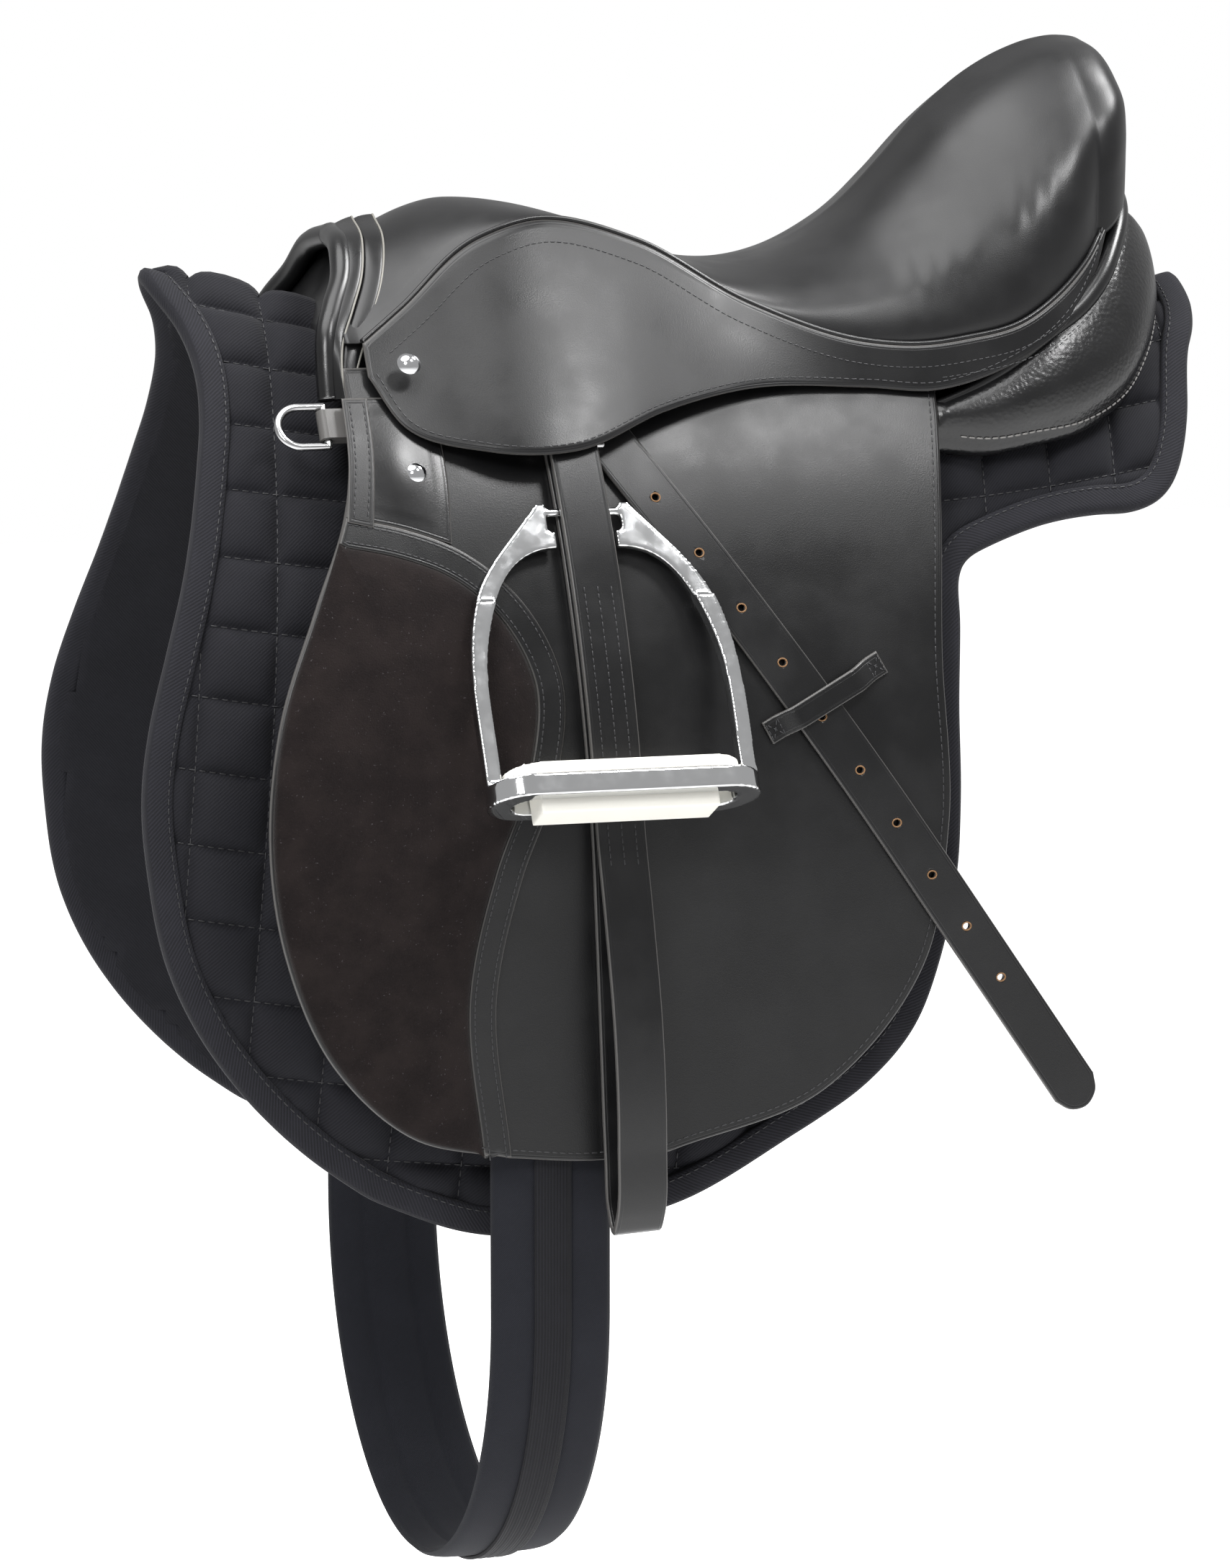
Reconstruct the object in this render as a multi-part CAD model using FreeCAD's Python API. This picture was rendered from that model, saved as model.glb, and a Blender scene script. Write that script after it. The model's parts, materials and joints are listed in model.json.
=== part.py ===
import FreeCAD, Part
import math
import os

# English saddle with its quilted pad, girth and run-up stirrups.
# Units are millimetres. +X runs from the pommel to the cantle, +Z is up and the near
# (left) side is at -Y. The origin is on the mid-plane, under the deepest part of the seat,
# on the underside of the pad, where the saddle rests on a horse's back or a saddle rack.

V = FreeCAD.Vector

# ---- driving dimensions -------------------------------------------------------------------
side_width = 165.0          # half width of the flap's inner face where it hangs straight
side_lean = 33.0            # degrees from vertical of the side under the seat
side_radius = 420.0         # bend of the flap over the horse's ribs
side_straight_z = -260.0    # below this height the flap hangs straight down
side_low = -470.0           # lower end of the side profile
side_top = 90.0             # upper end of the side profile

flap_thick = 4.0            # flap leather
knee_pad_thick = 6.0        # suede knee pad on the flap
trim_thick = 2.4            # stitched strip round the knee pad
trim_width = 14.0
patch_thick = 1.6           # glossy patch on the flap's front corner
sweat_thick = 2.2           # sweat flap leather
skirt_thick = 3.5
strap_width = 25.0          # stirrup leather
strap_thick = 3.4
strap_gap = 5.0             # room between the two strands, for the iron's top bar
strap_lift = 0.6            # flap face to stirrup leather
skirt_gap = 1.0             # outer strand to skirt
strap_hole_pitch = 33.0
strap_hole_count = 10
strap_hole_r = 2.2
billet_width = 24.0
billet_thick = 2.4
billet_pitch = 32.0
billet_gap = 1.6            # sweat flap to billets
girth_width = 62.0
girth_thick = 8.0
webbing_width = 19.0
webbing_thick = 1.2
girth_gap = 0.8             # billets to girth
pad_thick = 12.0
pad_gap = 0.6               # pad to sweat flap
fit_gap = 0.4               # between soft pieces laid on each other
sweat_to_flap = 15.2        # sweat flap's outer face to the flap's inner face
iron_inner_width = 122.0    # between the arms, a 4 3/4 inch iron
iron_height = 160.0
iron_arm = 8.0
iron_tilt = 27.0            # degrees, how far the tread pushes the iron off the leathers
tread_depth = 38.0
bar_z = -12.0               # height of the stirrup bar's finger
bar_r = 1.7
leather_x = -93.0           # middle of the stirrup leather at the bar
eye_z = -80.0               # height of the iron's top bar
loop_z = -432.0             # bottom of the stirrup leather's loop
girth_x = -114.0            # middle of the girth
girth_top_z = -372.0
girth_bend_z = -478.0       # where the girth's strands turn into its curve
billet_top_z = -72.0
hinge_z = -2.0              # line about which the skirt's lower edge lifts
nail_r = 6.0
ring_wire = 2.0             # radius of the D ring's wire
ring_width = 26.0
ring_depth = 28.0

# ---- layers, as distances outward from the flap's inner face --------------------------------
flap_face = flap_thick
rear_strand = flap_face + strap_lift
front_strand = rear_strand + strap_thick + strap_gap
strand_mid = rear_strand + strap_thick + strap_gap / 2
skirt_inner = front_strand + strap_thick + skirt_gap
sweat_inner = -sweat_to_flap - sweat_thick
pad_face = sweat_inner - pad_gap
billet_inner = -sweat_to_flap + billet_gap
girth_inner = billet_inner + billet_thick + girth_gap
girth_face = girth_inner + girth_thick

lean = math.radians(side_lean)


# ---- helpers --------------------------------------------------------------------------------
def line(a, b):
    return Part.LineSegment(V(*a), V(*b)).toShape()


def spline(points):
    curve = Part.BSplineCurve()
    curve.interpolate([V(*p) for p in points])
    return curve.toShape()


def run_edges(runs):
    """Edges of a closed outline. Each run is a list of points: two make a line, more a smooth curve."""
    edges = []
    for points in runs:
        if len(points) == 2:
            edges.append(line(points[0], points[1]))
        else:
            edges.append(spline(points))
    return edges


def side_face(runs):
    """A flat face in the side view, from runs of (x, z) points."""
    return Part.Face(Part.Wire(run_edges([[(x, 0, z) for x, z in run] for run in runs])))


def loop(*runs):
    """Runs of an outline, each starting where the one before it ended, closed by a line if open."""
    full = [list(runs[0])]
    for run in runs[1:]:
        full.append([full[-1][-1]] + list(run))
    if full[-1][-1] != full[0][0]:
        full.append([full[-1][-1], full[0][0]])
    return full


def side_y(z, out):
    """Y of the near side at height z, on the layer that lies out from the flap's inner face."""
    radius = side_radius + out
    bend_top = side_straight_z + radius * math.sin(lean)
    if z <= side_straight_z:
        return -(side_width + out)
    if z < bend_top:
        return side_radius - side_width - math.sqrt(radius ** 2 - (z - side_straight_z) ** 2)
    return side_radius - side_width - radius * math.cos(lean) + (z - bend_top) * math.tan(lean)


def side_angle(z, out):
    """Lean of the near side at height z, in degrees from vertical."""
    rise = (z - side_straight_z) / (side_radius + out)
    return math.degrees(math.asin(min(max(rise, 0.0), math.sin(lean))))


def layer_edges(out):
    """Straight hang, bend and lean of one layer, from its lower end to its upper end."""
    centre_y = side_radius - side_width
    radius = side_radius + out
    bend_top = side_straight_z + radius * math.sin(lean)
    low = (0, side_y(side_low, out), side_low)
    start = (0, side_y(side_low, out), side_straight_z)
    middle = (0, centre_y - radius * math.cos(lean / 2), side_straight_z + radius * math.sin(lean / 2))
    end = (0, side_y(bend_top, out), bend_top)
    top = (0, side_y(side_top, out), side_top)
    return [line(low, start), Part.Arc(V(*start), V(*middle), V(*end)).toShape(), line(end, top)], low, top


def band(inner, outer, x0, x1):
    """The space between two layers of the near side, from x0 to x1."""
    inner_edges, inner_low, inner_top = layer_edges(inner)
    outer_edges, outer_low, outer_top = layer_edges(outer)
    ends = [line(inner_top, outer_top), line(outer_low, inner_low)]
    face = Part.Face(Part.Wire(Part.__sortEdges__(inner_edges + outer_edges + ends)))
    face.translate(V(x0, 0, 0))
    return face.extrude(V(x1 - x0, 0, 0))


def sheet(runs, inner, outer):
    """A piece of leather: its side-view outline, cut from the space between two layers."""
    face = side_face(runs)
    prism = face.copy()
    prism.translate(V(0, -300, 0))
    prism = prism.extrude(V(0, 300, 0))
    box = face.BoundBox
    return whole(prism.common(band(inner, outer, box.XMin - 5, box.XMax + 5)))


def strap_runs(start, end, width, tip=0.0):
    """Outline of a straight strap between two (x, z) points, with an optional pointed end."""
    dx = end[0] - start[0]
    dz = end[1] - start[1]
    length = math.hypot(dx, dz)
    ux, uz = dx / length, dz / length
    half = width / 2

    def at(along, across):
        return (start[0] + ux * along - uz * across, start[1] + uz * along + ux * across)

    corners = [at(0, -half), at(length - tip, -half)]
    if tip:
        corners += [at(length, -half / 3), at(length, half / 3)]
    corners += [at(length - tip, half), at(0, half), at(0, -half)]
    return [[a, b] for a, b in zip(corners, corners[1:])]


def whole(shape):
    """The one solid of a boolean's result, with its split faces joined up."""
    solids = sorted(shape.Solids, key=lambda s: s.Volume)
    return solids[-1].removeSplitter()


def beside(points, distance):
    """The same curve moved sideways by a distance, to the right of its direction of travel."""
    moved = []
    for i, (x, z) in enumerate(points):
        before = points[max(i - 1, 0)]
        after = points[min(i + 1, len(points) - 1)]
        dx, dz = after[0] - before[0], after[1] - before[1]
        length = math.hypot(dx, dz)
        moved.append((x + dz / length * distance, z - dx / length * distance))
    return moved


def inset(runs, distance):
    """Runs of a closed outline moved inward, with mitred corners between the runs."""
    def side_of(a, b):
        dx, dz = b[0] - a[0], b[1] - a[1]
        length = math.hypot(dx, dz)
        return -dz / length, dx / length

    moved = [beside(run, -distance) for run in runs]
    for i, run in enumerate(runs):
        follow = (i + 1) % len(runs)
        n1 = side_of(run[-2], run[-1])
        n2 = side_of(runs[follow][0], runs[follow][1])
        scale = distance / (1 + n1[0] * n2[0] + n1[1] * n2[1])
        corner = (run[-1][0] + (n1[0] + n2[0]) * scale, run[-1][1] + (n1[1] + n2[1]) * scale)
        moved[i][-1] = corner
        moved[follow][0] = corner
    return moved


def onto_side(shape, x, z, out):
    """Lay a piece made flat in the side view, outer face to -Y, on the near side at x and z."""
    placed = shape.copy()
    placed.rotate(V(0, 0, 0), V(1, 0, 0), -side_angle(z, out))
    placed.translate(V(x, side_y(z, out), z))
    return placed


def mirrored(shape):
    return shape.mirror(V(0, 0, 0), V(0, 1, 0))


def box(x0, x1, y0, y1, z0, z1):
    return Part.makeBox(x1 - x0, y1 - y0, z1 - z0, V(x0, y0, z0))


def rod(a, b, radius):
    direction = V(*b) - V(*a)
    return Part.makeCylinder(radius, direction.Length, V(*a), direction)


# ---- saddle pad -----------------------------------------------------------------------------
pad_width = side_width + pad_face          # half width at the pad's outer face
pad_front_pull = 20.0                      # how much narrower the pad's front edge hangs
# station: x, half width, spine height, how round the top is
pad_stations = [(-320.0, pad_width - pad_front_pull, 56.0, 0.34),
                (-180.0, pad_width - pad_front_pull / 2, 18.0, 0.40),
                (-20.0, pad_width, -18.0, 0.55),
                (130.0, pad_width, -6.0, 0.55),
                (300.0, pad_width, 36.0, 0.50)]
pad_shoulder_z = -60.0
pad_bend_z = -150.0


def pad_section(x, half, spine, round_top, inset):
    """Closed section of the pad's block: straight sides, rounded shoulders and a spine."""
    narrow = side_width + pad_face - half
    w = half - inset
    bend = -side_y(pad_bend_z, pad_face - inset) - narrow
    shoulder = -side_y(pad_shoulder_z, pad_face - inset) - narrow
    top_z = pad_shoulder_z + 0.75 * (spine - inset - pad_shoulder_z)
    near = [(x, -w, side_straight_z), (x, -bend, pad_bend_z), (x, -shoulder, pad_shoulder_z),
            (x, -shoulder * round_top, top_z)]
    far = [(px, -py, pz) for px, py, pz in reversed(near)]
    over = spline(near + [(x, 0, spine - inset)] + far)
    down_near = line((x, -w, side_low), near[0])
    down_far = line(far[-1], (x, w, side_low))
    return Part.Wire([down_near, over, down_far, line((x, w, side_low), (x, -w, side_low))])


def pad_block(inset):
    """The pad's block, moved inward by inset, with nothing outside its layer on either side."""
    block = Part.makeLoft([pad_section(*s, inset) for s in pad_stations], True, False)
    outside = band(pad_face - inset, 160, -340, 320)
    return block.cut(outside).cut(mirrored(outside))


pad_runs = loop([(-285, 130), (-285, 52)],
                [(-267, 14), (-266, -50), (-290, -125), (-308, -195), (-298, -270), (-272, -350),
                 (-222, -410), (-150, -437)],
                [(-45, -428), (38, -395), (88, -345), (110, -290), (113, -200), (111, -107)],
                [(160, -93), (224, -87)],
                [(252, -55), (265, -16), (279, 16), (296, 60)],
                [(296, 130)])
binding_width = 13.0
binding_gap = 0.3            # pad to its binding


def through(face):
    """A side-view face pushed through both sides."""
    prism = face.copy()
    prism.translate(V(0, -300, 0))
    return prism.extrude(V(0, 600, 0))


def pad_core(distance):
    """What lies inside the pad's edge by a distance, open at the top of its front and rear edges."""
    return through(side_face(inset(pad_runs, distance))).fuse(box(-400, 400, -300, 300, 70, 200))


pad_shell = pad_block(0).cut(pad_block(pad_thick)).common(through(side_face(pad_runs)))
saddle_pad = whole(pad_shell.common(pad_core(binding_width + binding_gap)))
pad_binding = pad_shell.cut(pad_core(binding_width))
pad_room = pad_block(-fit_gap)

# ---- tree, seat and panels ---------------------------------------------------------------------
tree_thick = 8.0
tree_line = [(-160, 30), (-110, 32), (-50, 14), (30, 4), (105, 14), (160, 50), (205, 98), (226, 124)]
tree_plan = [(-160, 38), (-110, 52), (-30, 46), (60, 66), (140, 84), (205, 72), (226, 40)]


def tree_under(drop):
    """Side-view points of the tree's upper face, lowered."""
    return [(x, z - drop) for x, z in tree_line]


def tree_slab(upper, lower, margin):
    """What lies between two lowerings of the tree's line, within the tree's plan plus a margin."""
    top = tree_under(upper)
    bottom = tree_under(lower)
    top[0] = (top[0][0] - margin, top[0][1])
    bottom[0] = (bottom[0][0] - margin, bottom[0][1])
    top[-1] = (top[-1][0] + margin, top[-1][1])
    bottom[-1] = (bottom[-1][0] + margin, bottom[-1][1])
    side = through(side_face([top, [top[-1], bottom[-1]], bottom[::-1], [bottom[0], top[0]]]))
    near = [(x, -y - margin, -200) for x, y in tree_plan]
    near[0] = (near[0][0] - margin, near[0][1], -200)
    near[-1] = (near[-1][0] + margin, near[-1][1], -200)
    far = [(x, -y, z) for x, y, z in near]
    plan = Part.Wire([spline(near), line(near[-1], far[-1]), spline(far[::-1]), line(far[0], near[0])])
    return side.common(Part.Face(plan).extrude(V(0, 0, 500)))


slot_half = 18.0
slot_start, slot_end = -60.0, 130.0
slot = box(slot_start, slot_end, -slot_half, slot_half, -60, 120)
tree = whole(tree_slab(0, tree_thick, 0).cut(slot))

# station: x, top, half width and height of the shoulder, of the welt, and of the lower edge
seat_stations = [(-172.0, 52, 30, 46, 58, 22, 66, 10),
                 (-128.0, 71, 30, 66, 60, 50, 78, 24),
                 (-80.0, 64, 30, 62, 56, 60, 79, 26),
                 (-30.0, 46, 34, 47, 64, 46, 82, 18),
                 (30.0, 39, 44, 35, 84, 14, 92, 2),
                 (90.0, 65, 52, 54, 92, 8, 94, -6),
                 (140.0, 118, 58, 102, 94, 30, 92, 2),
                 (190.0, 149, 60, 132, 92, 78, 84, 34),
                 (225.0, 155, 48, 141, 80, 102, 68, 70),
                 (252.0, 128, 26, 122, 46, 106, 40, 92)]


def seat_section(x, top, shoulder_y, shoulder_z, welt_y, welt_z, low_y, low_z):
    near = [(x, -welt_y, welt_z), (x, -shoulder_y, shoulder_z)]
    far = [(px, -py, pz) for px, py, pz in reversed(near)]
    over = spline(near + [(x, 0, top)] + far)
    low_near, low_far = (x, -low_y, low_z), (x, low_y, low_z)
    return Part.Wire([over, line(far[-1], low_far), line(low_far, low_near), line(low_near, near[0])])


seat_block = Part.makeLoft([seat_section(*s) for s in seat_stations], True, False)
seat = whole(seat_block.cut(tree_slab(-fit_gap, 200, fit_gap)).cut(tree).cut(pad_room))

plate_front, plate_back = -152.0, -136.0
plate_points = [(92, -62), (78, -28), (52, 4), (24, 18), (0, 21)]
plate_thick = 3.0


def arch_runs(points, thick):
    """A band over the withers, from the near point over the top to the off point."""
    inner = points + [(-y, z) for y, z in reversed(points[:-1])]
    outer = beside(inner, thick)
    return inner, outer


def arch(points, thick, x0, x1):
    inner, outer = arch_runs(points, thick)
    inner3 = [(x0, y, z) for y, z in inner]
    outer3 = [(x0, y, z) for y, z in outer]
    wire = Part.Wire([spline(inner3), line(inner3[-1], outer3[-1]), spline(outer3[::-1]),
                      line(outer3[0], inner3[0])])
    return Part.Face(wire).extrude(V(x1 - x0, 0, 0))


head_plate = arch(plate_points, plate_thick, plate_front, plate_back)

panel_layer = -9.0          # the panels stay this far inside the flap's inner face
# station: x, centre y and z, half size along the side and across it, lean from vertical
panel_stations = [(-184.0, 74, -30, 36, 8, 34),
                  (-150.0, 80, -34, 42, 11, 34),
                  (-60.0, 78, -30, 44, 13, 40),
                  (40.0, 76, -26, 44, 14, 50),
                  (120.0, 74, -14, 46, 24, 62),
                  (190.0, 72, 6, 44, 36, 60),
                  (226.0, 72, 14, 34, 34, 64),
                  (238.0, 72, 16, 14, 14, 64)]


def panel_section(x, cy, cz, along, across, tilt):
    """Oval section of a panel, as its outer and its inner half."""
    turned = math.radians(tilt)
    points = []
    for k in range(9):
        turn = math.pi * k / 8
        points.append((along * math.cos(turn), across * math.sin(turn)))
    halves = []
    for flip in (1, -1):
        placed = [(x, -cy + u * math.sin(turned) - flip * w * math.cos(turned),
                   cz + u * math.cos(turned) + flip * w * math.sin(turned)) for u, w in points]
        halves.append(spline(placed[::flip]))
    return Part.Wire(halves)


panel_block = Part.makeLoft([panel_section(*s) for s in panel_stations], True, False)
panel = panel_block.cut(pad_room).cut(seat_block).cut(tree_slab(-fit_gap, tree_thick + fit_gap, fit_gap))
panel = panel.cut(head_plate)
panel = whole(panel.cut(band(panel_layer, 120, -300, 300)))

# ---- pommel facing and cantle piping -----------------------------------------------------------
facing_points = [(88, -46), (74, -16), (52, 14), (26, 34), (0, 40)]
facing_thick = 13.0
head_facing = arch(facing_points, facing_thick, -200.0, -186.0)
head_facing = whole(head_facing.cut(pad_room).cut(seat_block).cut(panel).cut(mirrored(panel)))

piping_r = 4.0
piping_path = [(96, -98, -14), (140, -98, -12), (190, -92, 14), (228, -72, 52), (250, -40, 80), (256, 0, 88)]


def piping():
    half = [V(*p) for p in piping_path]
    points = half + [V(p.x, -p.y, p.z) for p in reversed(half[:-1])]
    curve = Part.BSplineCurve()
    curve.interpolate(points)
    path = Part.Wire([curve.toShape()])
    start = curve.tangent(curve.FirstParameter)[0]
    ring = Part.Wire([Part.makeCircle(piping_r, points[0], start)])
    return path.makePipeShell([ring], True, True)


cantle_piping = whole(piping().cut(seat_block).cut(panel).cut(mirrored(panel)).cut(pad_room))

# ---- sweat flap, flap and what is sewn to it ---------------------------------------------------
sweat_runs = loop([(-190, -72), (-206, -150), (-205, -240), (-180, -330), (-120, -374)],
                  [(-40, -362), (30, -310), (58, -220), (70, -72)])
sweat_flap = sheet(sweat_runs, sweat_inner, -sweat_to_flap)

flap_top_z = -26.0
flap_front = [(-209, -80), (-228, -122), (-250, -176), (-258, -235), (-250, -292), (-226, -346),
              (-186, -383), (-138, -395)]
flap_rear = [(-55, -397), (28, -370), (80, -310), (93, -240), (94, -152), (111, flap_top_z)]
flap_runs = loop([(-200, flap_top_z), flap_front[0]], flap_front[1:], flap_rear)
flap = sheet(flap_runs, 0, flap_face)

trim_outer = [(-209, -80), (-181, -86), (-153, -97), (-126, -120), (-108, -158), (-113, -207),
              (-132, -256), (-145, -312), (-138, -394)]
trim_inner = beside(trim_outer, trim_width)
trim_inner[0] = (-214, -92)
trim_inner[-1] = (-152, -392)
trim_runs = [trim_outer, [trim_outer[-1], trim_inner[-1]], trim_inner[::-1], [trim_inner[0], trim_outer[0]]]
trim_face = flap_face + trim_thick
knee_trim = sheet(trim_runs, flap_face, trim_face)
knee_edge = [trim_inner[0], (-227, -122), (-249, -176), (-257, -235), (-249, -291), (-225, -345),
             (-187, -381), trim_inner[-1]]
knee_runs = [trim_inner, knee_edge[::-1]]
knee_pad = sheet(knee_runs, flap_face, flap_face + knee_pad_thick)

patch_runs = loop([(-200, flap_top_z - 3), (-208, -79)], [(-181, -85), (-160, -93)], [(-158, flap_top_z - 3)])
flap_patch = sheet(patch_runs, flap_face, flap_face + patch_thick)

keeper_start, keeper_end = (-3.0, -190.0), (60.0, -157.0)
keeper_width = 12.0
keeper_thick = 2.4
keeper_gap = 0.5
keeper_inner = rear_strand + strap_thick + keeper_gap
keeper_foot = 6.0
keeper_strip = strap_runs(keeper_start, keeper_end, keeper_width)
keeper_span = math.hypot(keeper_end[0] - keeper_start[0], keeper_end[1] - keeper_start[1])


def along_keeper(distance):
    share = distance / keeper_span
    return (keeper_start[0] + share * (keeper_end[0] - keeper_start[0]),
            keeper_start[1] + share * (keeper_end[1] - keeper_start[1]))


keeper = sheet(keeper_strip, keeper_inner, keeper_inner + keeper_thick)
for foot_ends in ((0, keeper_foot), (keeper_span - keeper_foot, keeper_span)):
    foot = strap_runs(along_keeper(foot_ends[0]), along_keeper(foot_ends[1]), keeper_width)
    keeper = keeper.fuse(sheet(foot, flap_face, keeper_inner + keeper_thick))
keeper = whole(keeper)

# ---- skirt ---------------------------------------------------------------------------------------
welt = [(-188, 2), (-166, 18), (-122, 52), (-92, 61), (-39, 50), (15, 19), (73, -1)]
skirt_low = [(-186, -20), (-174, -38), (-135, -50), (-91, -50), (-42, -33), (9, -23), (73, -24), (109, -26)]
skirt_split = 0.6
skirt_outer = skirt_inner + skirt_thick
# the fixed part reaches down in front, round its nail, and the lip rises a little under it as it lifts
ear_x, ear_z = -158.0, -15.0
ear_room = 2.4
skirt_runs = loop([(-188, ear_z), welt[0]], welt[1:], [(73, hinge_z)], [(ear_x, hinge_z)], [(ear_x, ear_z)])
skirt = sheet(skirt_runs, skirt_inner, skirt_outer)
lip_top = hinge_z - skirt_split
lip_runs = loop([(-187, ear_z - ear_room), skirt_low[0]], skirt_low[1:], [(109, lip_top)],
                [(ear_x + skirt_split, lip_top)], [(ear_x + skirt_split, ear_z - ear_room)])
skirt_lip = sheet(lip_runs, skirt_inner, skirt_outer)

# ---- nails: a dome on a shank through the leather ---------------------------------------------
dome_high = 3.6


def nail(shank):
    """Domed head facing -Y with its flat on the origin, and a shank into the piece."""
    ball_r = (nail_r ** 2 + dome_high ** 2) / (2 * dome_high)
    ball = Part.makeSphere(ball_r, V(0, ball_r - dome_high, 0))
    head = ball.common(box(-nail_r, nail_r, -dome_high, 0, -nail_r, nail_r))
    return whole(head.fuse(Part.makeCylinder(1.5, shank, V(0, 0, 0), V(0, 1, 0))))


skirt_nail_x, skirt_nail_z = -170.0, -7.0
skirt_nail = onto_side(nail(skirt_thick), skirt_nail_x, skirt_nail_z, skirt_outer)
skirt = whole(skirt.cut(onto_side(rod((0, -1, 0), (0, 9, 0), 1.5), skirt_nail_x, skirt_nail_z, skirt_outer)))
rivet_x, rivet_z = -171.0, -60.0
patch_face = flap_face + patch_thick
flap_rivet = onto_side(nail(patch_thick), rivet_x, rivet_z, patch_face)
flap_patch = whole(flap_patch.cut(onto_side(rod((0, -1, 0), (0, patch_thick, 0), 1.5), rivet_x, rivet_z,
                                            patch_face)))

# ---- D ring and its tab -------------------------------------------------------------------------
ring_x, ring_z = -210.0, -38.0
ring_layer = -4.2


def ring_path():
    half = ring_width / 2 - ring_wire
    bow = ring_depth - 2 * ring_wire
    top, bottom = V(0, 0, half), V(0, 0, -half)
    nose = V(-bow, 0, 0)
    shoulder_top, shoulder_low = V(-(bow - half), 0, half), V(-(bow - half), 0, -half)
    arc = Part.Arc(shoulder_top, nose, shoulder_low).toShape()
    return top, bottom, shoulder_top, shoulder_low, arc


def d_ring_shape():
    top, bottom, shoulder_top, shoulder_low, arc = ring_path()
    ring = Part.makeCylinder(ring_wire, (top - bottom).Length, bottom, V(0, 0, 1))
    for corner, end in ((top, shoulder_top), (bottom, shoulder_low)):
        ring = ring.fuse(Part.makeCylinder(ring_wire, (end - corner).Length, corner, end - corner))
        ring = ring.fuse(Part.makeSphere(ring_wire, corner))
    circle = Part.Wire([Part.makeCircle(ring_wire, shoulder_top, V(1, 0, 0))])
    ring = ring.fuse(Part.Wire([arc]).makePipeShell([circle], True, False))
    return whole(ring)


tab_height = 16.0
tab_thick = 1.6
tab_back = 26.0
tab_bore = ring_wire + 0.3


def tab_tail(grow):
    """The tab's flat tail towards the saddle, grown by a margin."""
    half = tab_height / 2 + grow
    return box(0, tab_back + grow, -tab_bore - tab_thick - grow, tab_bore + tab_thick - 1.2 + grow, -half, half)


def ring_tab_shape():
    """A leather loop round the ring's straight bar, with its tail."""
    outer = Part.makeCylinder(tab_bore + tab_thick, tab_height, V(0, 0, -tab_height / 2))
    bore = Part.makeCylinder(tab_bore, tab_height, V(0, 0, -tab_height / 2))
    return whole(outer.fuse(tab_tail(0)).cut(bore))


d_ring = onto_side(d_ring_shape(), ring_x, ring_z, ring_layer)
ring_tab = onto_side(ring_tab_shape(), ring_x, ring_z, ring_layer)
tab_room = onto_side(tab_tail(fit_gap), ring_x, ring_z, ring_layer)
head_facing = whole(head_facing.cut(tab_room).cut(mirrored(tab_room)))

# ---- stirrup bar and its catch -----------------------------------------------------------------
finger_front, finger_back = -126.0, -68.0
plate_in, plate_out = -8.0, -4.0


def stirrup_bar_shape():
    """Plate on the tree, an arm outward and the finger that the leather hangs on, at the origin's height."""
    finger = rod((finger_front, 0, 0), (finger_back, 0, 0), bar_r)
    reach = strand_mid - plate_in
    arm = box(finger_front - 5, finger_front + 1, -bar_r, reach, -bar_r, bar_r + 6)
    plate = box(finger_front - 5, finger_back + 6, reach - (plate_out - plate_in), reach, -bar_r, bar_r + 14)
    return whole(finger.fuse(arm).fuse(plate))


catch_long = 12.0
catch_gap = 0.3
stirrup_bar = onto_side(stirrup_bar_shape(), 0, bar_z, strand_mid)
catch_turn = finger_back + catch_gap + bar_r          # the catch turns about the middle of its round end
catch_shape = rod((catch_turn, 0, 0), (finger_back + catch_long, 0, 0), bar_r)
catch_shape = catch_shape.fuse(Part.makeSphere(bar_r, V(catch_turn, 0, 0)))
bar_catch = onto_side(catch_shape, 0, bar_z, strand_mid)

# ---- stirrup leather ------------------------------------------------------------------------------
mid_thick = strap_thick / 2
rear_mid = rear_strand + mid_thick
front_mid = front_strand + mid_thick
loop_lean = 2.3             # degrees, how far back the loop's lower end hangs
loop_bow = 30.0             # how far the front strand stands off the flap at its fullest
tail_start, tail_end = (-72.0, -43.0), (168.0, -387.0)
tail_tip = 9.0
first_hole = 38.0           # from the tail's upper end to its first hole
# distance from the flap and height of the strap's middle, from the bar down and back up
strap_line = [(front_mid, -50.0), (front_mid, -130.0), (front_mid, -190.0), (front_mid, -236.0),
              (22.0, -276.0), (loop_bow, -330.0), (loop_bow - 1.0, loop_z + 44.0), (22.0, loop_z + 8.0),
              (14.0, loop_z - 1.0), (7.6, loop_z + 9.0), (rear_mid, loop_z + 34.0), (rear_mid, -330.0),
              (rear_mid, -240.0), (rear_mid, -150.0), (rear_mid, -50.0)]


def strap_side(push):
    """One face of the strap all the way round, as edges: down the front, up the rear and over the bar."""
    points = [(0, side_y(z, out), z) for out, z in beside(strap_line, push)]
    radius = strap_gap / 2 + mid_thick - push
    centre = V(0, side_y(bar_z, strand_mid), bar_z)
    outward = V(0, -math.cos(lean), math.sin(lean)) * radius
    upward = V(0, math.sin(lean), math.cos(lean)) * radius
    front, rear = centre + outward, centre - outward
    over = Part.Arc(rear, centre + upward, front).toShape()
    return Part.Wire([spline([tuple(front)] + points + [tuple(rear)]), over])


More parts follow.
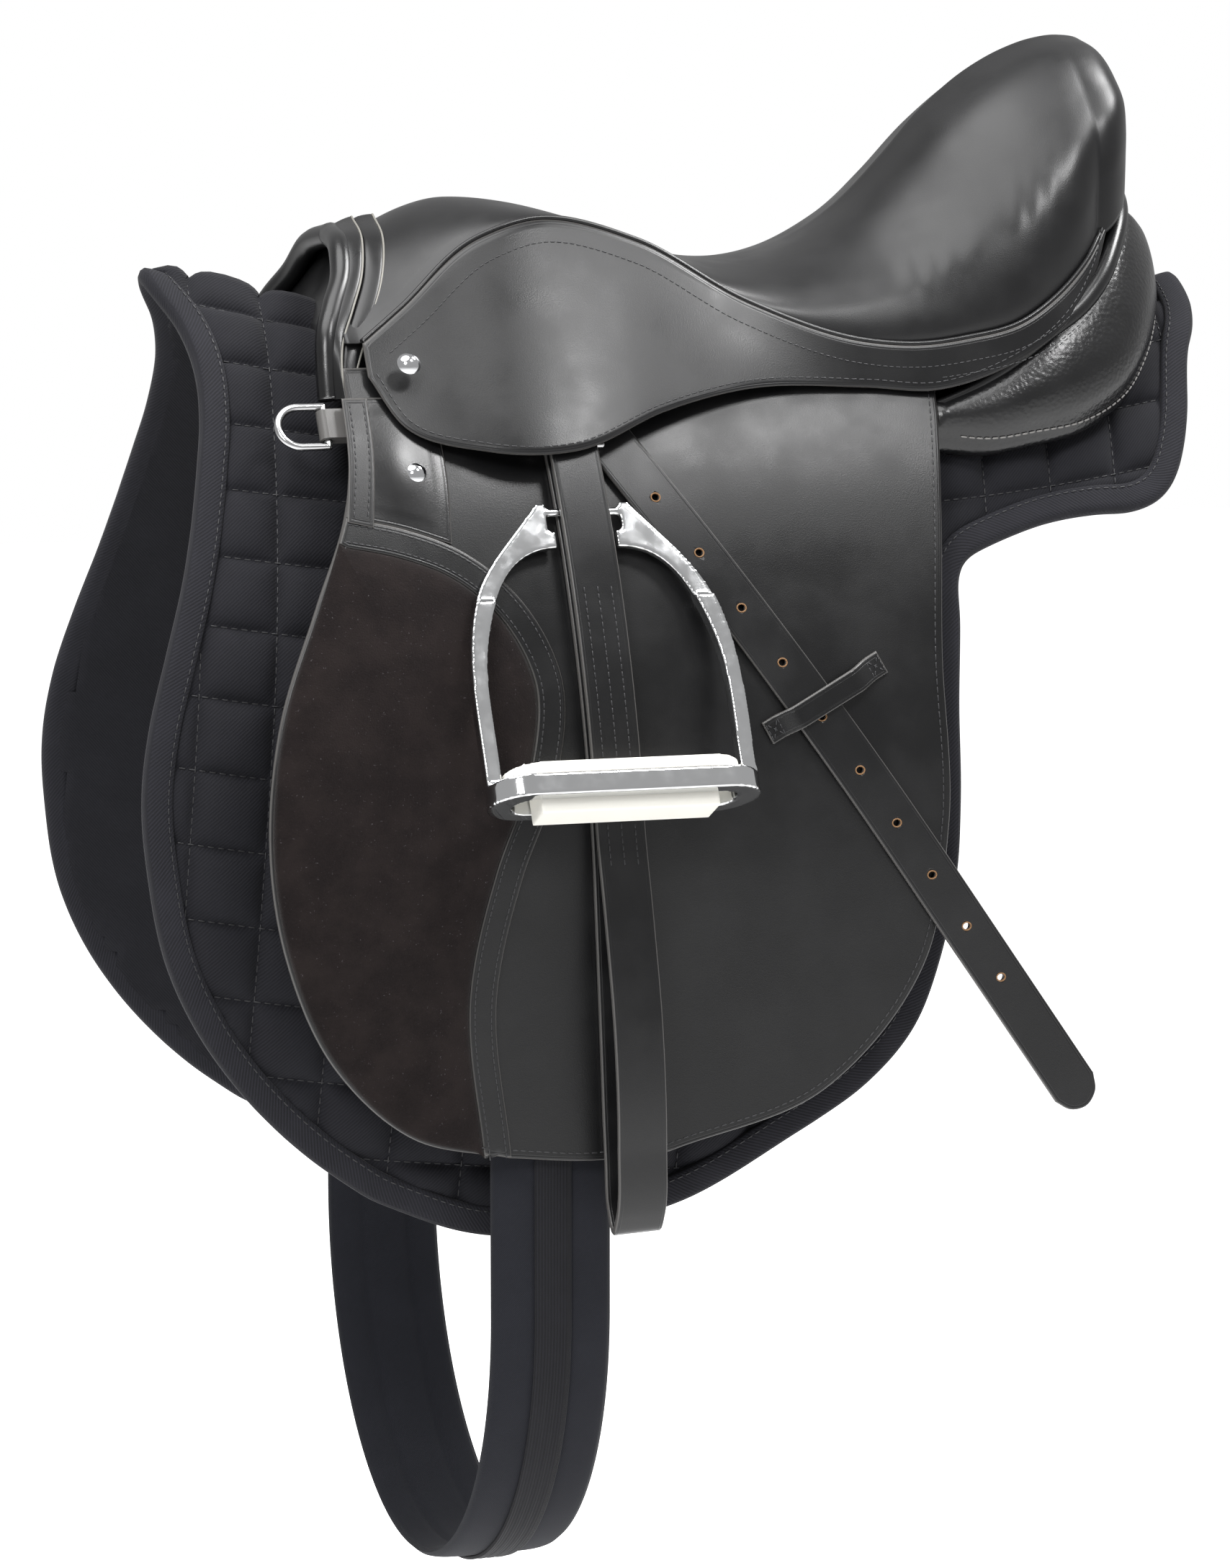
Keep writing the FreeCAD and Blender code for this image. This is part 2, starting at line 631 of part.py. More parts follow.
outer_wire, inner_wire = strap_side(-mid_thick), strap_side(mid_thick)
ring = Part.Face(outer_wire).cut(Part.Face(inner_wire))
strap_loop = ring.extrude(V(strap_width, 0, 0))
strap_loop.translate(V(leather_x - strap_width / 2, 0, 0))
strap_loop.rotate(V(leather_x, 0, bar_z), V(0, 1, 0), -loop_lean)
tail = sheet(strap_runs(tail_start, tail_end, strap_width, tail_tip), rear_strand, rear_strand + strap_thick)
tail_length = math.hypot(tail_end[0] - tail_start[0], tail_end[1] - tail_start[1])
for k in range(strap_hole_count):
    share = (first_hole + k * strap_hole_pitch) / tail_length
    hole_x = tail_start[0] + share * (tail_end[0] - tail_start[0])
    hole_z = tail_start[1] + share * (tail_end[1] - tail_start[1])
    tail = tail.cut(rod((hole_x, -300, hole_z), (hole_x, 0, hole_z), strap_hole_r))
stirrup_leather = whole(strap_loop.fuse(tail))


# ---- buckles --------------------------------------------------------------------------------------
def rounded_frame(width, low, high, wire):
    """Rectangle of round wire in the side view, with ball corners."""
    half = width / 2
    corners = [(-half, 0, low), (half, 0, low), (half, 0, high), (-half, 0, high)]
    frame = None
    for a, b in zip(corners, corners[1:] + corners[:1]):
        piece = rod(a, b, wire).fuse(Part.makeSphere(wire, V(*a)))
        frame = piece if frame is None else frame.fuse(piece)
    return frame


tongue_bore_gap = 0.25
tongue_wall = 0.9


def tongue(bar, wire, reach):
    """Eye round the bar at the origin, and a pin that stops just short of the far side."""
    eye_r = bar + tongue_bore_gap + tongue_wall
    pin = rod((0, 0, bar + tongue_bore_gap + tongue_wall / 2), (0, 0, reach), wire)
    body = Part.makeCylinder(eye_r, 2 * wire + 1, V(-wire - 0.5, 0, 0), V(1, 0, 0)).fuse(pin)
    return whole(body.cut(Part.makeCylinder(bar + tongue_bore_gap, 20, V(-10, 0, 0), V(1, 0, 0))))


buckle_wire = 1.6
buckle_width = 34.0
buckle_half_high = 12.0
buckle_bar = 1.0
buckle_z = -38.0
buckle_frame = rounded_frame(buckle_width, -buckle_half_high, buckle_half_high, buckle_wire)
buckle_frame = whole(buckle_frame.fuse(rod((-buckle_width / 2, 0, 0), (buckle_width / 2, 0, 0), buckle_bar)))
leather_buckle = onto_side(buckle_frame, leather_x + 1, buckle_z, strand_mid)
buckle_reach = buckle_half_high - buckle_wire - fit_gap
leather_tongue = onto_side(tongue(buckle_bar, 1.0, buckle_reach), leather_x + 1, buckle_z, strand_mid)

# ---- stirrup iron and tread, made upright with the top bar's middle at the origin ---------------
iron_plate = strap_gap - 0.6
bar_round = iron_plate / 2
inner_half = iron_inner_width / 2
outer_half = inner_half + iron_arm
base_z = -iron_height + 8.0                 # underside of the iron's base
base_high = 11.0
base_depth = 40.0
opening_depth = 22.0
tread_thick = 6.0
eye_half = 19.0
neck_half = 15.5
outer_half_curve = [(24, 4), (43, -18), (58, -39), (66, -64), (outer_half, -98), (outer_half, base_z + base_high)]
inner_half_curve = [(neck_half, -19), (40, -29), (53, -52), (60, -80), (inner_half, -108),
                    (inner_half, base_z + base_high)]


def iron_arch(thick, top):
    """The arch between its outer and inner outlines, as far up as top."""
    right = [(x, 0, z) for x, z in outer_half_curve]
    left = [(-x, 0, z) for x, z in outer_half_curve]
    outer = Part.Wire([spline(right), line(right[-1], left[-1]), spline(left[::-1]), line(left[0], right[0])])
    right_in = [(x, 0, z) for x, z in inner_half_curve]
    left_in = [(-x, 0, z) for x, z in inner_half_curve]
    low_right, low_left = (inner_half, 0, base_z - 5), (-inner_half, 0, base_z - 5)
    inner = Part.Wire([spline(right_in), line(right_in[-1], low_right), line(low_right, low_left),
                       line(low_left, left_in[-1]), spline(left_in[::-1]), line(left_in[0], right_in[0])])
    body = Part.Face(outer).extrude(V(0, thick, 0))
    body.translate(V(0, -thick / 2, 0))
    hollow = Part.Face(inner).extrude(V(0, 40, 0))
    hollow.translate(V(0, -20, 0))
    return body.cut(hollow).common(box(-90, 90, -20, 20, -200, top))


def stadium(length, depth, z, high):
    """A bar with round ends, seen from above."""
    radius = depth / 2
    straight = length / 2 - radius
    body = box(-straight, straight, -radius, radius, z, z + high)
    for x in (-straight, straight):
        body = body.fuse(Part.makeCylinder(radius, high, V(x, 0, z)))
    return body


def iron_shape():
    plate = iron_arch(iron_plate, 10).fuse(iron_arch(iron_arm, -46))
    slot_high = 8.0
    eye = box(-eye_half, eye_half, -20, 20, -bar_round - slot_high, 10)
    neck = box(-neck_half, neck_half, -20, 20, -25, 0)
    plate = plate.cut(eye).cut(neck)
    top_bar = rod((-eye_half - 3, 0, 0), (eye_half + 3, 0, 0), bar_round)
    base = stadium(2 * outer_half, base_depth, base_z, base_high)
    base = base.cut(stadium(2 * inner_half - 8, opening_depth, base_z - 1, base_high + 2))
    return whole(plate.fuse(top_bar).fuse(base))


tooth_count = 30
tooth_high = 1.6


def tread_shape():
    """Rubber tread: a toothed plate on the base and a block down through its opening."""
    top_z = base_z + base_high
    length = 2 * inner_half - 3
    plate = stadium(length, tread_depth, top_z + 0.1, tread_thick)
    pitch = length * 0.9 / tooth_count
    for k in range(tooth_count):
        x = (k - (tooth_count - 1) / 2) * pitch
        tooth = Part.Face(Part.makePolygon([V(x - pitch / 2, -tread_depth / 3, top_z + tread_thick),
                                            V(x, -tread_depth / 3, top_z + tread_thick + tooth_high),
                                            V(x + pitch / 2, -tread_depth / 3, top_z + tread_thick),
                                            V(x - pitch / 2, -tread_depth / 3, top_z + tread_thick)]))
        plate = plate.fuse(tooth.extrude(V(0, tread_depth * 2 / 3, 0)))
    block_half = inner_half - 16
    block = box(-block_half, block_half, -opening_depth / 2 + 1, opening_depth / 2 - 1, base_z - 6, top_z + 1)
    return whole(plate.fuse(block))


def hung(shape):
    """Tilt a piece of the stirrup outward at its foot and hang it in the leather."""
    placed = shape.copy()
    placed.rotate(V(0, 0, 0), V(1, 0, 0), -iron_tilt)
    placed.translate(V(leather_x + 2.5, side_y(eye_z, strand_mid), eye_z))
    return placed


stirrup_iron = hung(iron_shape())
stirrup_tread = hung(tread_shape())


# ---- girth, its buckles and the billets ---------------------------------------------------------
def u_wire(out, x):
    """Down one side, round under the belly and up the other, at a distance from the flaps' inner faces."""
    half = side_width + out
    near_top, near_bend = (x, -half, girth_top_z), (x, -half, girth_bend_z)
    far_bend, far_top = (x, half, girth_bend_z), (x, half, girth_top_z)
    under = V(x, 0, girth_bend_z - half)
    return [line(near_top, near_bend), Part.Arc(V(*near_bend), under, V(*far_bend)).toShape(),
            line(far_bend, far_top)], near_top, far_top


def u_band(inner, outer, x0, x1):
    inner_edges, inner_near, inner_far = u_wire(inner, x0)
    outer_edges, outer_near, outer_far = u_wire(outer, x0)
    ends = [line(inner_near, outer_near), line(inner_far, outer_far)]
    face = Part.Face(Part.Wire(Part.__sortEdges__(inner_edges + outer_edges + ends)))
    return face.extrude(V(x1 - x0, 0, 0))


girth_body = u_band(girth_inner, girth_face - webbing_thick, girth_x - girth_width / 2, girth_x + girth_width / 2)
girth_webbing = u_band(girth_face - webbing_thick, girth_face, girth_x - webbing_width / 2,
                       girth_x + webbing_width / 2)

girth_wire = 2.0
girth_buckle_width = 28.0
girth_buckle_high = 28.0
buckle_layer = (girth_inner + girth_face) / 2
pivot_z = girth_top_z + 5.0
chape_wall = 1.4
buckle_xs = [girth_x - billet_pitch / 2, girth_x + billet_pitch / 2]


def moved(shape, x, y, z):
    placed = shape.copy()
    placed.translate(V(x, y, z))
    return placed


def joined(shapes):
    """Separate solids kept together in one piece of the parts list."""
    return Part.makeCompound(shapes)


girth_frame = whole(rounded_frame(girth_buckle_width, 0, girth_buckle_high, girth_wire))
girth_tongue = tongue(girth_wire, 1.5, girth_buckle_high - girth_wire - fit_gap)
buckle_y = -(side_width + buckle_layer)
near_girth_buckles = joined([moved(girth_frame, x, buckle_y, pivot_z) for x in buckle_xs])
near_girth_tongues = joined([moved(girth_tongue, x, buckle_y, pivot_z) for x in buckle_xs])
chape_r = girth_wire + 0.3
for x in buckle_xs:
    for side in (-1, 1):
        start = x + side * 7 - 3
        wall = Part.makeCylinder(chape_r + chape_wall, 6, V(start, buckle_y, pivot_z), V(1, 0, 0))
        root = box(start, start + 6, buckle_y - 1.5, buckle_y + 1.5, girth_top_z - 1, pivot_z)
        bore = Part.makeCylinder(chape_r, 6, V(start, buckle_y, pivot_z), V(1, 0, 0))
        chape = wall.fuse(root).cut(bore)
        girth_body = girth_body.fuse(chape).fuse(mirrored(chape))
girth_body = whole(girth_body)

billet_low_z = girth_top_z + 12.0
billets = []
for x in buckle_xs:
    half = billet_width / 2
    runs = loop([(x - half, billet_top_z), (x - half, billet_low_z)], [(x + half, billet_low_z)],
                [(x + half, billet_top_z)])
    billets.append(sheet(runs, billet_inner, billet_inner + billet_thick))
near_billets = joined(billets)

# ---- write every piece ------------------------------------------------------------------------------
single = {"tree": tree, "head_plate": head_plate, "seat": seat, "head_facing": head_facing,
          "cantle_piping": cantle_piping, "saddle_pad": saddle_pad, "pad_binding": pad_binding,
          "girth": girth_body, "girth_webbing": girth_webbing}
paired = {"panel": panel, "sweat_flap": sweat_flap, "skirt": skirt, "skirt_lip": skirt_lip,
          "skirt_nail": skirt_nail, "flap": flap, "knee_pad": knee_pad, "knee_trim": knee_trim,
          "flap_patch": flap_patch, "flap_rivet": flap_rivet, "tail_keeper": keeper,
          "d_ring": d_ring, "d_ring_tab": ring_tab, "stirrup_bar": stirrup_bar, "bar_catch": bar_catch,
          "stirrup_leather": stirrup_leather, "leather_buckle": leather_buckle,
          "buckle_tongue": leather_tongue, "stirrup_iron": stirrup_iron, "stirrup_tread": stirrup_tread,
          "billets": near_billets, "girth_buckles": near_girth_buckles, "girth_tongues": near_girth_tongues}

os.makedirs("parts", exist_ok=True)
for name, shape in single.items():
    shape.exportStep("parts/" + name + ".step")
for name, shape in paired.items():
    shape.exportStep("parts/near_" + name + ".step")
    mirrored(shape).exportStep("parts/off_" + name + ".step")
for name, shape in list(single.items()) + list(paired.items()):
    b = shape.BoundBox
    print("%-16s solids %d valid %s  x %.0f %.0f  y %.0f %.0f  z %.0f %.0f  volume %.1f cm3" % (
        name, len(shape.Solids), shape.isValid(), b.XMin, b.XMax, b.YMin, b.YMax, b.ZMin, b.ZMax,
        shape.Volume / 1000))
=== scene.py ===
# %% [markdown]
# # English saddle with its pad, girth and run-up stirrups
# A riding saddle is mostly sheet leather cut to outline, edged, creased and sewn, laid in layers over a
# stuffed panel. So nearly every piece here is a sheet: an outline in the side view, laid on the curved side
# of the saddle at its own distance from the flap. Padded pieces are closed crowned forms. All sizes are in
# millimetres until a mesh is made; +X runs to the cantle, +Z up, and the near side is at -Y.

# %% load the frame
import bpy
import bmesh
import json
import math
import numpy as np
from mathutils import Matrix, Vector


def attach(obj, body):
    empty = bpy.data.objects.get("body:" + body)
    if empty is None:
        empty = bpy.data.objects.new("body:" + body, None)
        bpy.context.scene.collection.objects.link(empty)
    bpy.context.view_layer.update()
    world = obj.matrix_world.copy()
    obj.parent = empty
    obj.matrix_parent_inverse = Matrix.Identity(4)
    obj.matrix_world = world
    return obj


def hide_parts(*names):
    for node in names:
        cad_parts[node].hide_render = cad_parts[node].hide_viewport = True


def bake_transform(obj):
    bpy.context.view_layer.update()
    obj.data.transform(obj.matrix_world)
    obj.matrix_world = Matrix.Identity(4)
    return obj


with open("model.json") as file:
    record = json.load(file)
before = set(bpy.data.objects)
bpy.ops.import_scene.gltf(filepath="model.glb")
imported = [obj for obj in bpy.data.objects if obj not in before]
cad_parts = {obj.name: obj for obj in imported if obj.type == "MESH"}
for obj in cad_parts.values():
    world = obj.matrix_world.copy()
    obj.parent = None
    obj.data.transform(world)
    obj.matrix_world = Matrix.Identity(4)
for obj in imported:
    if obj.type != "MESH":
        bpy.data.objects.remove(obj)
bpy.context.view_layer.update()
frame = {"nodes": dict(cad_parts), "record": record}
MM = 0.001

# %% [markdown]
# ## The side of the saddle
# The flap hangs straight at the bottom, bends over the horse's ribs and leans in under the seat. A layer is a
# distance outward from the flap's inner face, so each leather keeps its place in the pile.

# %% the side profile
WIDTH, RIB, HANG_Z, LEAN = 165.0, 420.0, -260.0, math.radians(33.0)


def side_y(z, out):
    """y of the near side: -(W + out) below; then a circle, y = R - W - sqrt(r^2 - (z - z0)^2) with
    r = R + out; then a straight lean."""
    z, out = np.asarray(z, float), np.asarray(out, float)
    r = RIB + out
    top = HANG_Z + r * math.sin(LEAN)
    bend = RIB - WIDTH - np.sqrt(np.maximum(r ** 2 - (z - HANG_Z) ** 2, 0.0))
    lean = RIB - WIDTH - r * math.cos(LEAN) + (z - top) * math.tan(LEAN)
    return np.where(z <= HANG_Z, -(WIDTH + out), np.where(z < top, bend, lean))


def side_normal(z):
    """Outward direction (0, -cos a, sin a) with sin a = (z - z0) / R, up to the lean."""
    a = np.arcsin(np.clip((np.asarray(z, float) - HANG_Z) / RIB, 0.0, math.sin(LEAN)))
    return np.stack([np.zeros_like(a), -np.cos(a), np.sin(a)], -1)


def on_side(flat, out):
    """Side-view points (x, z) laid on a layer, as (x, y, z)."""
    flat = np.asarray(flat, float)
    return np.stack([flat[..., 0], side_y(flat[..., 1], out), flat[..., 1]], -1)


# %% [markdown]
# ## Curves and meshes
# Outlines are smooth curves through a few points. A sheet blends its four edges into a grid, a strap or a
# roll is a section swept along a path, and stitches are small barrels of thread laid along a seam. Each
# piece keeps what its finish reads: the distance from its cut edge, or a flat map in metres.

# %% curves
def resample(points, share):
    """Points at given shares 0..1 of a polyline's length."""
    points = np.asarray(points, float)
    run = np.r_[0, np.cumsum(np.linalg.norm(np.diff(points, axis=0), axis=1))]
    return np.stack([np.interp(np.asarray(share) * run[-1], run, points[:, k])
                     for k in range(points.shape[1])], 1)


def smooth(points, count=240):
    """A smooth curve through points: cubic Hermite pieces with tangents from the neighbours' chords."""
    p = np.asarray(points, float)
    if len(p) == 2:
        return resample(p, np.linspace(0, 1, count))
    chord = np.r_[0, np.cumsum(np.linalg.norm(np.diff(p, axis=0), axis=1))]
    tangent = np.gradient(p, chord, axis=0)
    t = np.linspace(0, chord[-1], count * 2)
    k = np.clip(np.searchsorted(chord, t, "right") - 1, 0, len(p) - 2)
    h = (chord[k + 1] - chord[k])[:, None]
    s = ((t - chord[k])[:, None]) / h
    fine = ((2 * s ** 3 - 3 * s ** 2 + 1) * p[k] + (s ** 3 - 2 * s ** 2 + s) * h * tangent[k]
            + (3 * s ** 2 - 2 * s ** 3) * p[k + 1] + (s ** 3 - s ** 2) * h * tangent[k + 1])
    return resample(fine, np.linspace(0, 1, count))


def table(rows, x, column):
    """A value read smoothly from rows of (x, values...)."""
    rows = np.asarray(rows, float)
    fine = smooth(rows[:, [0, column]], 600)
    return np.interp(x, fine[:, 0], fine[:, 1])


def beside(points, distance):
    """The same flat curve moved sideways, to the right of its travel."""
    points = np.asarray(points, float)
    d = np.gradient(points, axis=0)
    d /= np.linalg.norm(d, axis=1)[:, None]
    return points + distance * np.stack([d[:, 1], -d[:, 0]], 1)


def clustered(count, width, edge=1.5):
    """Shares 0..1 with close steps within `edge` millimetres of both ends, and even ones between."""
    close = np.array([0, 0.04, 0.14, 0.32, 0.6, 1.0]) * edge / width
    return np.r_[close[:-1], np.linspace(close[-1], 1 - close[-1], count), (1 - close[:-1])[::-1]]


def grid_quads(rows, cols, first=0, wrap_rows=False, wrap_cols=False):
    """Quads of a grid numbered row by row, optionally closed in either direction."""
    i = np.arange(rows if wrap_rows else rows - 1)[:, None]
    j = np.arange(cols if wrap_cols else cols - 1)[None, :]
    i2, j2 = (i + 1) % rows, (j + 1) % cols
    return np.stack(np.broadcast_arrays(i * cols + j, i * cols + j2, i2 * cols + j2, i2 * cols + j),
                    -1).reshape(-1, 4) + first


# %% meshes
def build(name, points, quads, finish, **values):
    """A smooth mesh from millimetre points, with its finish, and named values kept on the points."""
    points = np.asarray(points, float).reshape(-1, 3)
    mesh = bpy.data.meshes.new(name)
    mesh.from_pydata((points * MM).tolist(), [], np.asarray(quads).tolist())
    for key, value in values.items():
        if key != "uv":
            kept_value = mesh.attributes.new(key, "FLOAT", "POINT")
            kept_value.data.foreach_set("value", np.asarray(value, np.float32).ravel())
    if "uv" in values:
        corner = np.zeros(len(mesh.loops), np.int32)
        mesh.loops.foreach_get("vertex_index", corner)
        flat = (np.asarray(values["uv"], float).reshape(-1, 2) * MM)[corner]
        mesh.uv_layers.new(name="UVMap").data.foreach_set("uv", flat.astype(np.float32).ravel())
    mesh.shade_smooth()
    mesh.materials.append(finish)
    obj = bpy.data.objects.new(name, mesh)
    bpy.context.scene.collection.objects.link(obj)
    return obj


def welded(obj, gap_mm=0.02):
    """Points that meet at a pole or a seam, made one."""
    work = bmesh.new()
    work.from_mesh(obj.data)
    bmesh.ops.remove_doubles(work, verts=work.verts, dist=gap_mm * MM)
    work.to_mesh(obj.data)
    work.free()


def dressed(finish):
    """A finish's material and slot: a word names both, and a bare material has no slot."""
    return (finishes[finish], finish) if isinstance(finish, str) else (finish, None)


def place(obj, body, nodes=(), slot=None):
    """A finished piece rides its body and stands for its CAD nodes."""
    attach(obj, body)
    if nodes:
        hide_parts(*nodes)


def single(name, points, quads, finish, body, nodes=(), **values):
    """One piece, made, dressed and placed."""
    look, slot = dressed(finish)
    obj = build(name, points, quads, look, **values)
    place(obj, body, nodes, slot)
    return obj


def sided(side, word):
    """A body or node name for one side; the saddle itself has only one body."""
    return word if word == "saddle" else side + "_" + word


def both(name, points, quads, finish, body, nodes=(), bend=None, **values):
    """The near piece and its mirror on the off side. bend = (a, b, start, end): if given, the piece rides no
    body, and a, b, start and end are not used.
    """
    made = []
    look, slot = dressed(finish)
    points, quads = np.asarray(points, float).reshape(-1, 3), np.asarray(quads)
    for side, mirror, turned in (("near", [1, 1, 1], quads), ("off", [1, -1, 1], quads[:, ::-1])):
        obj = build(side + "_" + name, points * mirror, turned, look, **values)
        if bend:
            a, b, start, end = bend
            start, end = (tuple(np.array(end_point) * mirror * MM) for end_point in (start, end))
            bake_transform(obj)
        else:
            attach(obj, sided(side, body))
        if nodes:
            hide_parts(*[side + "_" + node for node in nodes])
        made.append(obj)
    return made


def edge_distance(flat, outline):
    """Distance from each point to an outline: nearest sample, then across its tangent."""
    line = resample(outline, np.linspace(0, 1, max(int(len(outline) * 1.5), 900)))
    along = np.gradient(line, axis=0)
    along /= np.maximum(np.linalg.norm(along, axis=1), 1e-9)[:, None]
    flat2 = flat.reshape(-1, 2)
    found = np.zeros(len(flat2))
    for first in range(0, len(flat2), 4000):
        part = flat2[first:first + 4000]
        gap = part[:, None] - line[None]
        near = np.argmin((gap ** 2).sum(-1), 1)
        v = gap[np.arange(len(part)), near]
        step = np.abs((v * along[near]).sum(-1))
        across = np.abs(v[:, 0] * along[near][:, 1] - v[:, 1] * along[near][:, 0])
        found[first:first + 4000] = np.where(step < 2.0, across, np.hypot(v[:, 0], v[:, 1]))
    return found.reshape(flat.shape[:-1])


def patch(bottom, top, left, right, us, vs):
    """Coons patch: the blend of both pairs of opposite edges, less the blend of the four corners."""
    b, t, l, r = resample(bottom, us), resample(top, us), resample(left, vs), resample(right, vs)
    u, v = us[None, :, None], vs[:, None, None]
    return ((1 - v) * b[None] + v * t[None] + (1 - u) * l[:, None] + u * r[:, None]
            - ((1 - u) * (1 - v) * b[0] + u * (1 - v) * b[-1] + (1 - u) * v * t[0] + u * v * t[-1]))


def slab(bottom, top, left, right, out, thick, cols, rows, edge=0.9, crown=None):
    """A leather sheet with rounded cut edges. Half thickness h = T/2 sqrt(1 - (1 - d/edge)^2) at d from the
    outline. Returns points, quads, d and a flat map. `out` is its inner layer, a number or a function."""
    bottom, top, left, right = (np.asarray(c, float) for c in (bottom, top, left, right))
    across = 0.5 * sum(np.linalg.norm(np.diff(c, axis=0), axis=1).sum() for c in (bottom, top))
    tall = 0.5 * sum(np.linalg.norm(np.diff(c, axis=0), axis=1).sum() for c in (left, right))
    us, vs = clustered(cols, max(across, 8.0), 2 * edge), clustered(rows, max(tall, 8.0), 2 * edge)
    flat = patch(bottom, top, left, right, us, vs)
    d = edge_distance(flat, np.r_[bottom, right, top[::-1], left[::-1]])
    d[0], d[-1], d[:, 0], d[:, -1] = 0, 0, 0, 0
    half = thick / 2 * np.sqrt(1 - (1 - np.clip(d / edge, 0, 1)) ** 2)
    middle = (out(flat[..., 0], flat[..., 1]) if callable(out) else out) + thick / 2
    swell = crown(d, flat[..., 0], flat[..., 1]) if crown else 0.0
    face, back = on_side(flat, middle + half + swell), on_side(flat, middle - half)
    rows_n, cols_n = d.shape
    number = np.arange(rows_n * cols_n).reshape(rows_n, cols_n)
    inner = number + number.size
    rim = np.zeros(d.shape, bool)
    rim[0], rim[-1], rim[:, 0], rim[:, -1] = True, True, True, True
    inner[rim] = number[rim]
    front_quads = grid_quads(rows_n, cols_n)
    back_quads = inner.ravel()[front_quads][:, ::-1]
    points = np.r_[face.reshape(-1, 3), back.reshape(-1, 3)]
    quads = np.r_[front_quads, back_quads]
    used = np.unique(quads)
    renumber = np.zeros(len(points), int)
    renumber[used] = np.arange(len(used))
    run = np.cumsum(np.r_[np.zeros((1, cols_n)), np.linalg.norm(np.diff(face, axis=0), axis=2)], axis=0)
    flat_map = np.stack([flat[..., 0], run], -1).reshape(-1, 2)
    keep = {"edge_mm": np.r_[d.ravel(), d.ravel()][used], "uv": np.r_[flat_map, flat_map][used]}
    return points[used], renumber[quads], keep


def frames(path, closed=False):
    """Tangents of a path, one per point."""
    t = np.roll(path, -1, 0) - np.roll(path, 1, 0) if closed else np.gradient(path, axis=0)
    return t / np.maximum(np.linalg.norm(t, axis=1), 1e-9)[:, None]


def sweep(path, normal, section, closed=False, caps=True):
    """A section of (across, outward) points carried along a path: P + across (n x t) + outward n."""
    t = frames(path, closed)
    n = normal - (normal * t).sum(1)[:, None] * t
    n /= np.linalg.norm(n, axis=1)[:, None]
    b = np.cross(n, t)
    section = np.asarray(section, float)
    if section.ndim == 2:
        section = np.broadcast_to(section, (len(path),) + section.shape)
    rings = path[:, None] + section[..., 0:1] * b[:, None] + section[..., 1:2] * n[:, None]
    count, around = rings.shape[:2]
    quads = grid_quads(count, around, wrap_rows=closed, wrap_cols=True)
    if not closed and caps:
        half = around // 2
        ends = []
        for base, turn in ((0, 1), ((count - 1) * around, -1)):
            for k in range(half - 1):
                q = [base + k, base + k + 1, base + around - 2 - k, base + around - 1 - k]
                if len(set(q)) == 4:
                    ends.append(q[::turn])
        if ends:
            quads = np.r_[quads, np.array(ends)]
    return rings.reshape(-1, 3), quads


def round_section(radius, count=12, flat=1.0):
    turn = np.linspace(0, 2 * math.pi, count, endpoint=False)
    return np.stack([radius * np.cos(turn), radius * flat * np.sin(turn)], 1)


def strap_section(width, thick, edge=0.8, count=10):
    """A flat strap's section with rounded edges, wound once round."""
    half, h = width / 2, thick / 2
    a = np.linspace(math.pi / 2, 0, 5)
    right = np.stack([half - edge + edge * np.cos(a), (h - edge) + edge * np.sin(a)], 1)
    low = np.stack([right[::-1, 0], -right[::-1, 1]], 1)
    bottom = np.stack([np.linspace(half - edge, -half + edge, count)[1:-1], np.full(count - 2, -h)], 1)
    top = -bottom
    return np.r_[right, low, bottom, -right, -low, top]


# %% stitches
def stitches(path, normal, long=3.0, gap=1.1, wide=0.75, lift=0.12):
    """A row of thread stitches: barrels of six sides and four rings laid end to end along a path."""
    length = np.linalg.norm(np.diff(path, axis=0), axis=1).sum()
    count = max(int(length / (long + gap)), 1)
    share = (np.arange(count) + 0.5) / count
    centre = resample(path, share)
    ahead, behind = (resample(path, np.clip(share + k / count, 0, 1)) for k in (0.4, -0.4))
    t = ahead - behind
    t /= np.linalg.norm(t, axis=1)[:, None]
    steps = np.r_[0, np.cumsum(np.linalg.norm(np.diff(path, axis=0), axis=1))] / length
    n = np.stack([np.interp(share, steps, normal[:, k]) for k in range(3)], 1)
    n -= (n * t).sum(1)[:, None] * t
    n /= np.linalg.norm(n, axis=1)[:, None]
    b = np.cross(n, t)
    along = np.array([-1.0, -0.72, 0.72, 1.0]) * long / 2
    size = np.array([0.35, 1.0, 1.0, 0.35]) * wide / 2
    turn = np.linspace(0, 2 * math.pi, 6, endpoint=False)
    ring = (along[None, :, None, None] * t[:, None, None]
            + (size[None, :, None] * np.cos(turn))[..., None] * b[:, None, None]
            + (size[None, :, None] * np.sin(turn) * 0.7 + lift)[..., None] * n[:, None, None])
    points = (centre[:, None, None] + ring).reshape(-1, 3)
    one = np.r_[grid_quads(4, 6, wrap_cols=True), [[0, 5, 4, 3], [3, 2, 1, 0]],
                [[18, 19, 20, 21], [21, 22, 23, 18]]]
    quads = (one[None] + (np.arange(count) * 24)[:, None, None]).reshape(-1, 4)
    return points, quads


def gather(parts):
    """Several (points, quads) as one."""
    points, quads, first = [], [], 0
    for p, q in parts:
        points.append(p)
        quads.append(np.asarray(q) + first)
        first += len(p)
    return np.concatenate(points), np.concatenate(quads)


def sewn(flat_path, out, **look):
    """A row of stitches along a side-view path on a layer."""
    path = on_side(flat_path, out(flat_path[:, 0], flat_path[:, 1]) if callable(out) else out)
    return stitches(path, side_normal(flat_path[:, 1]), **look)


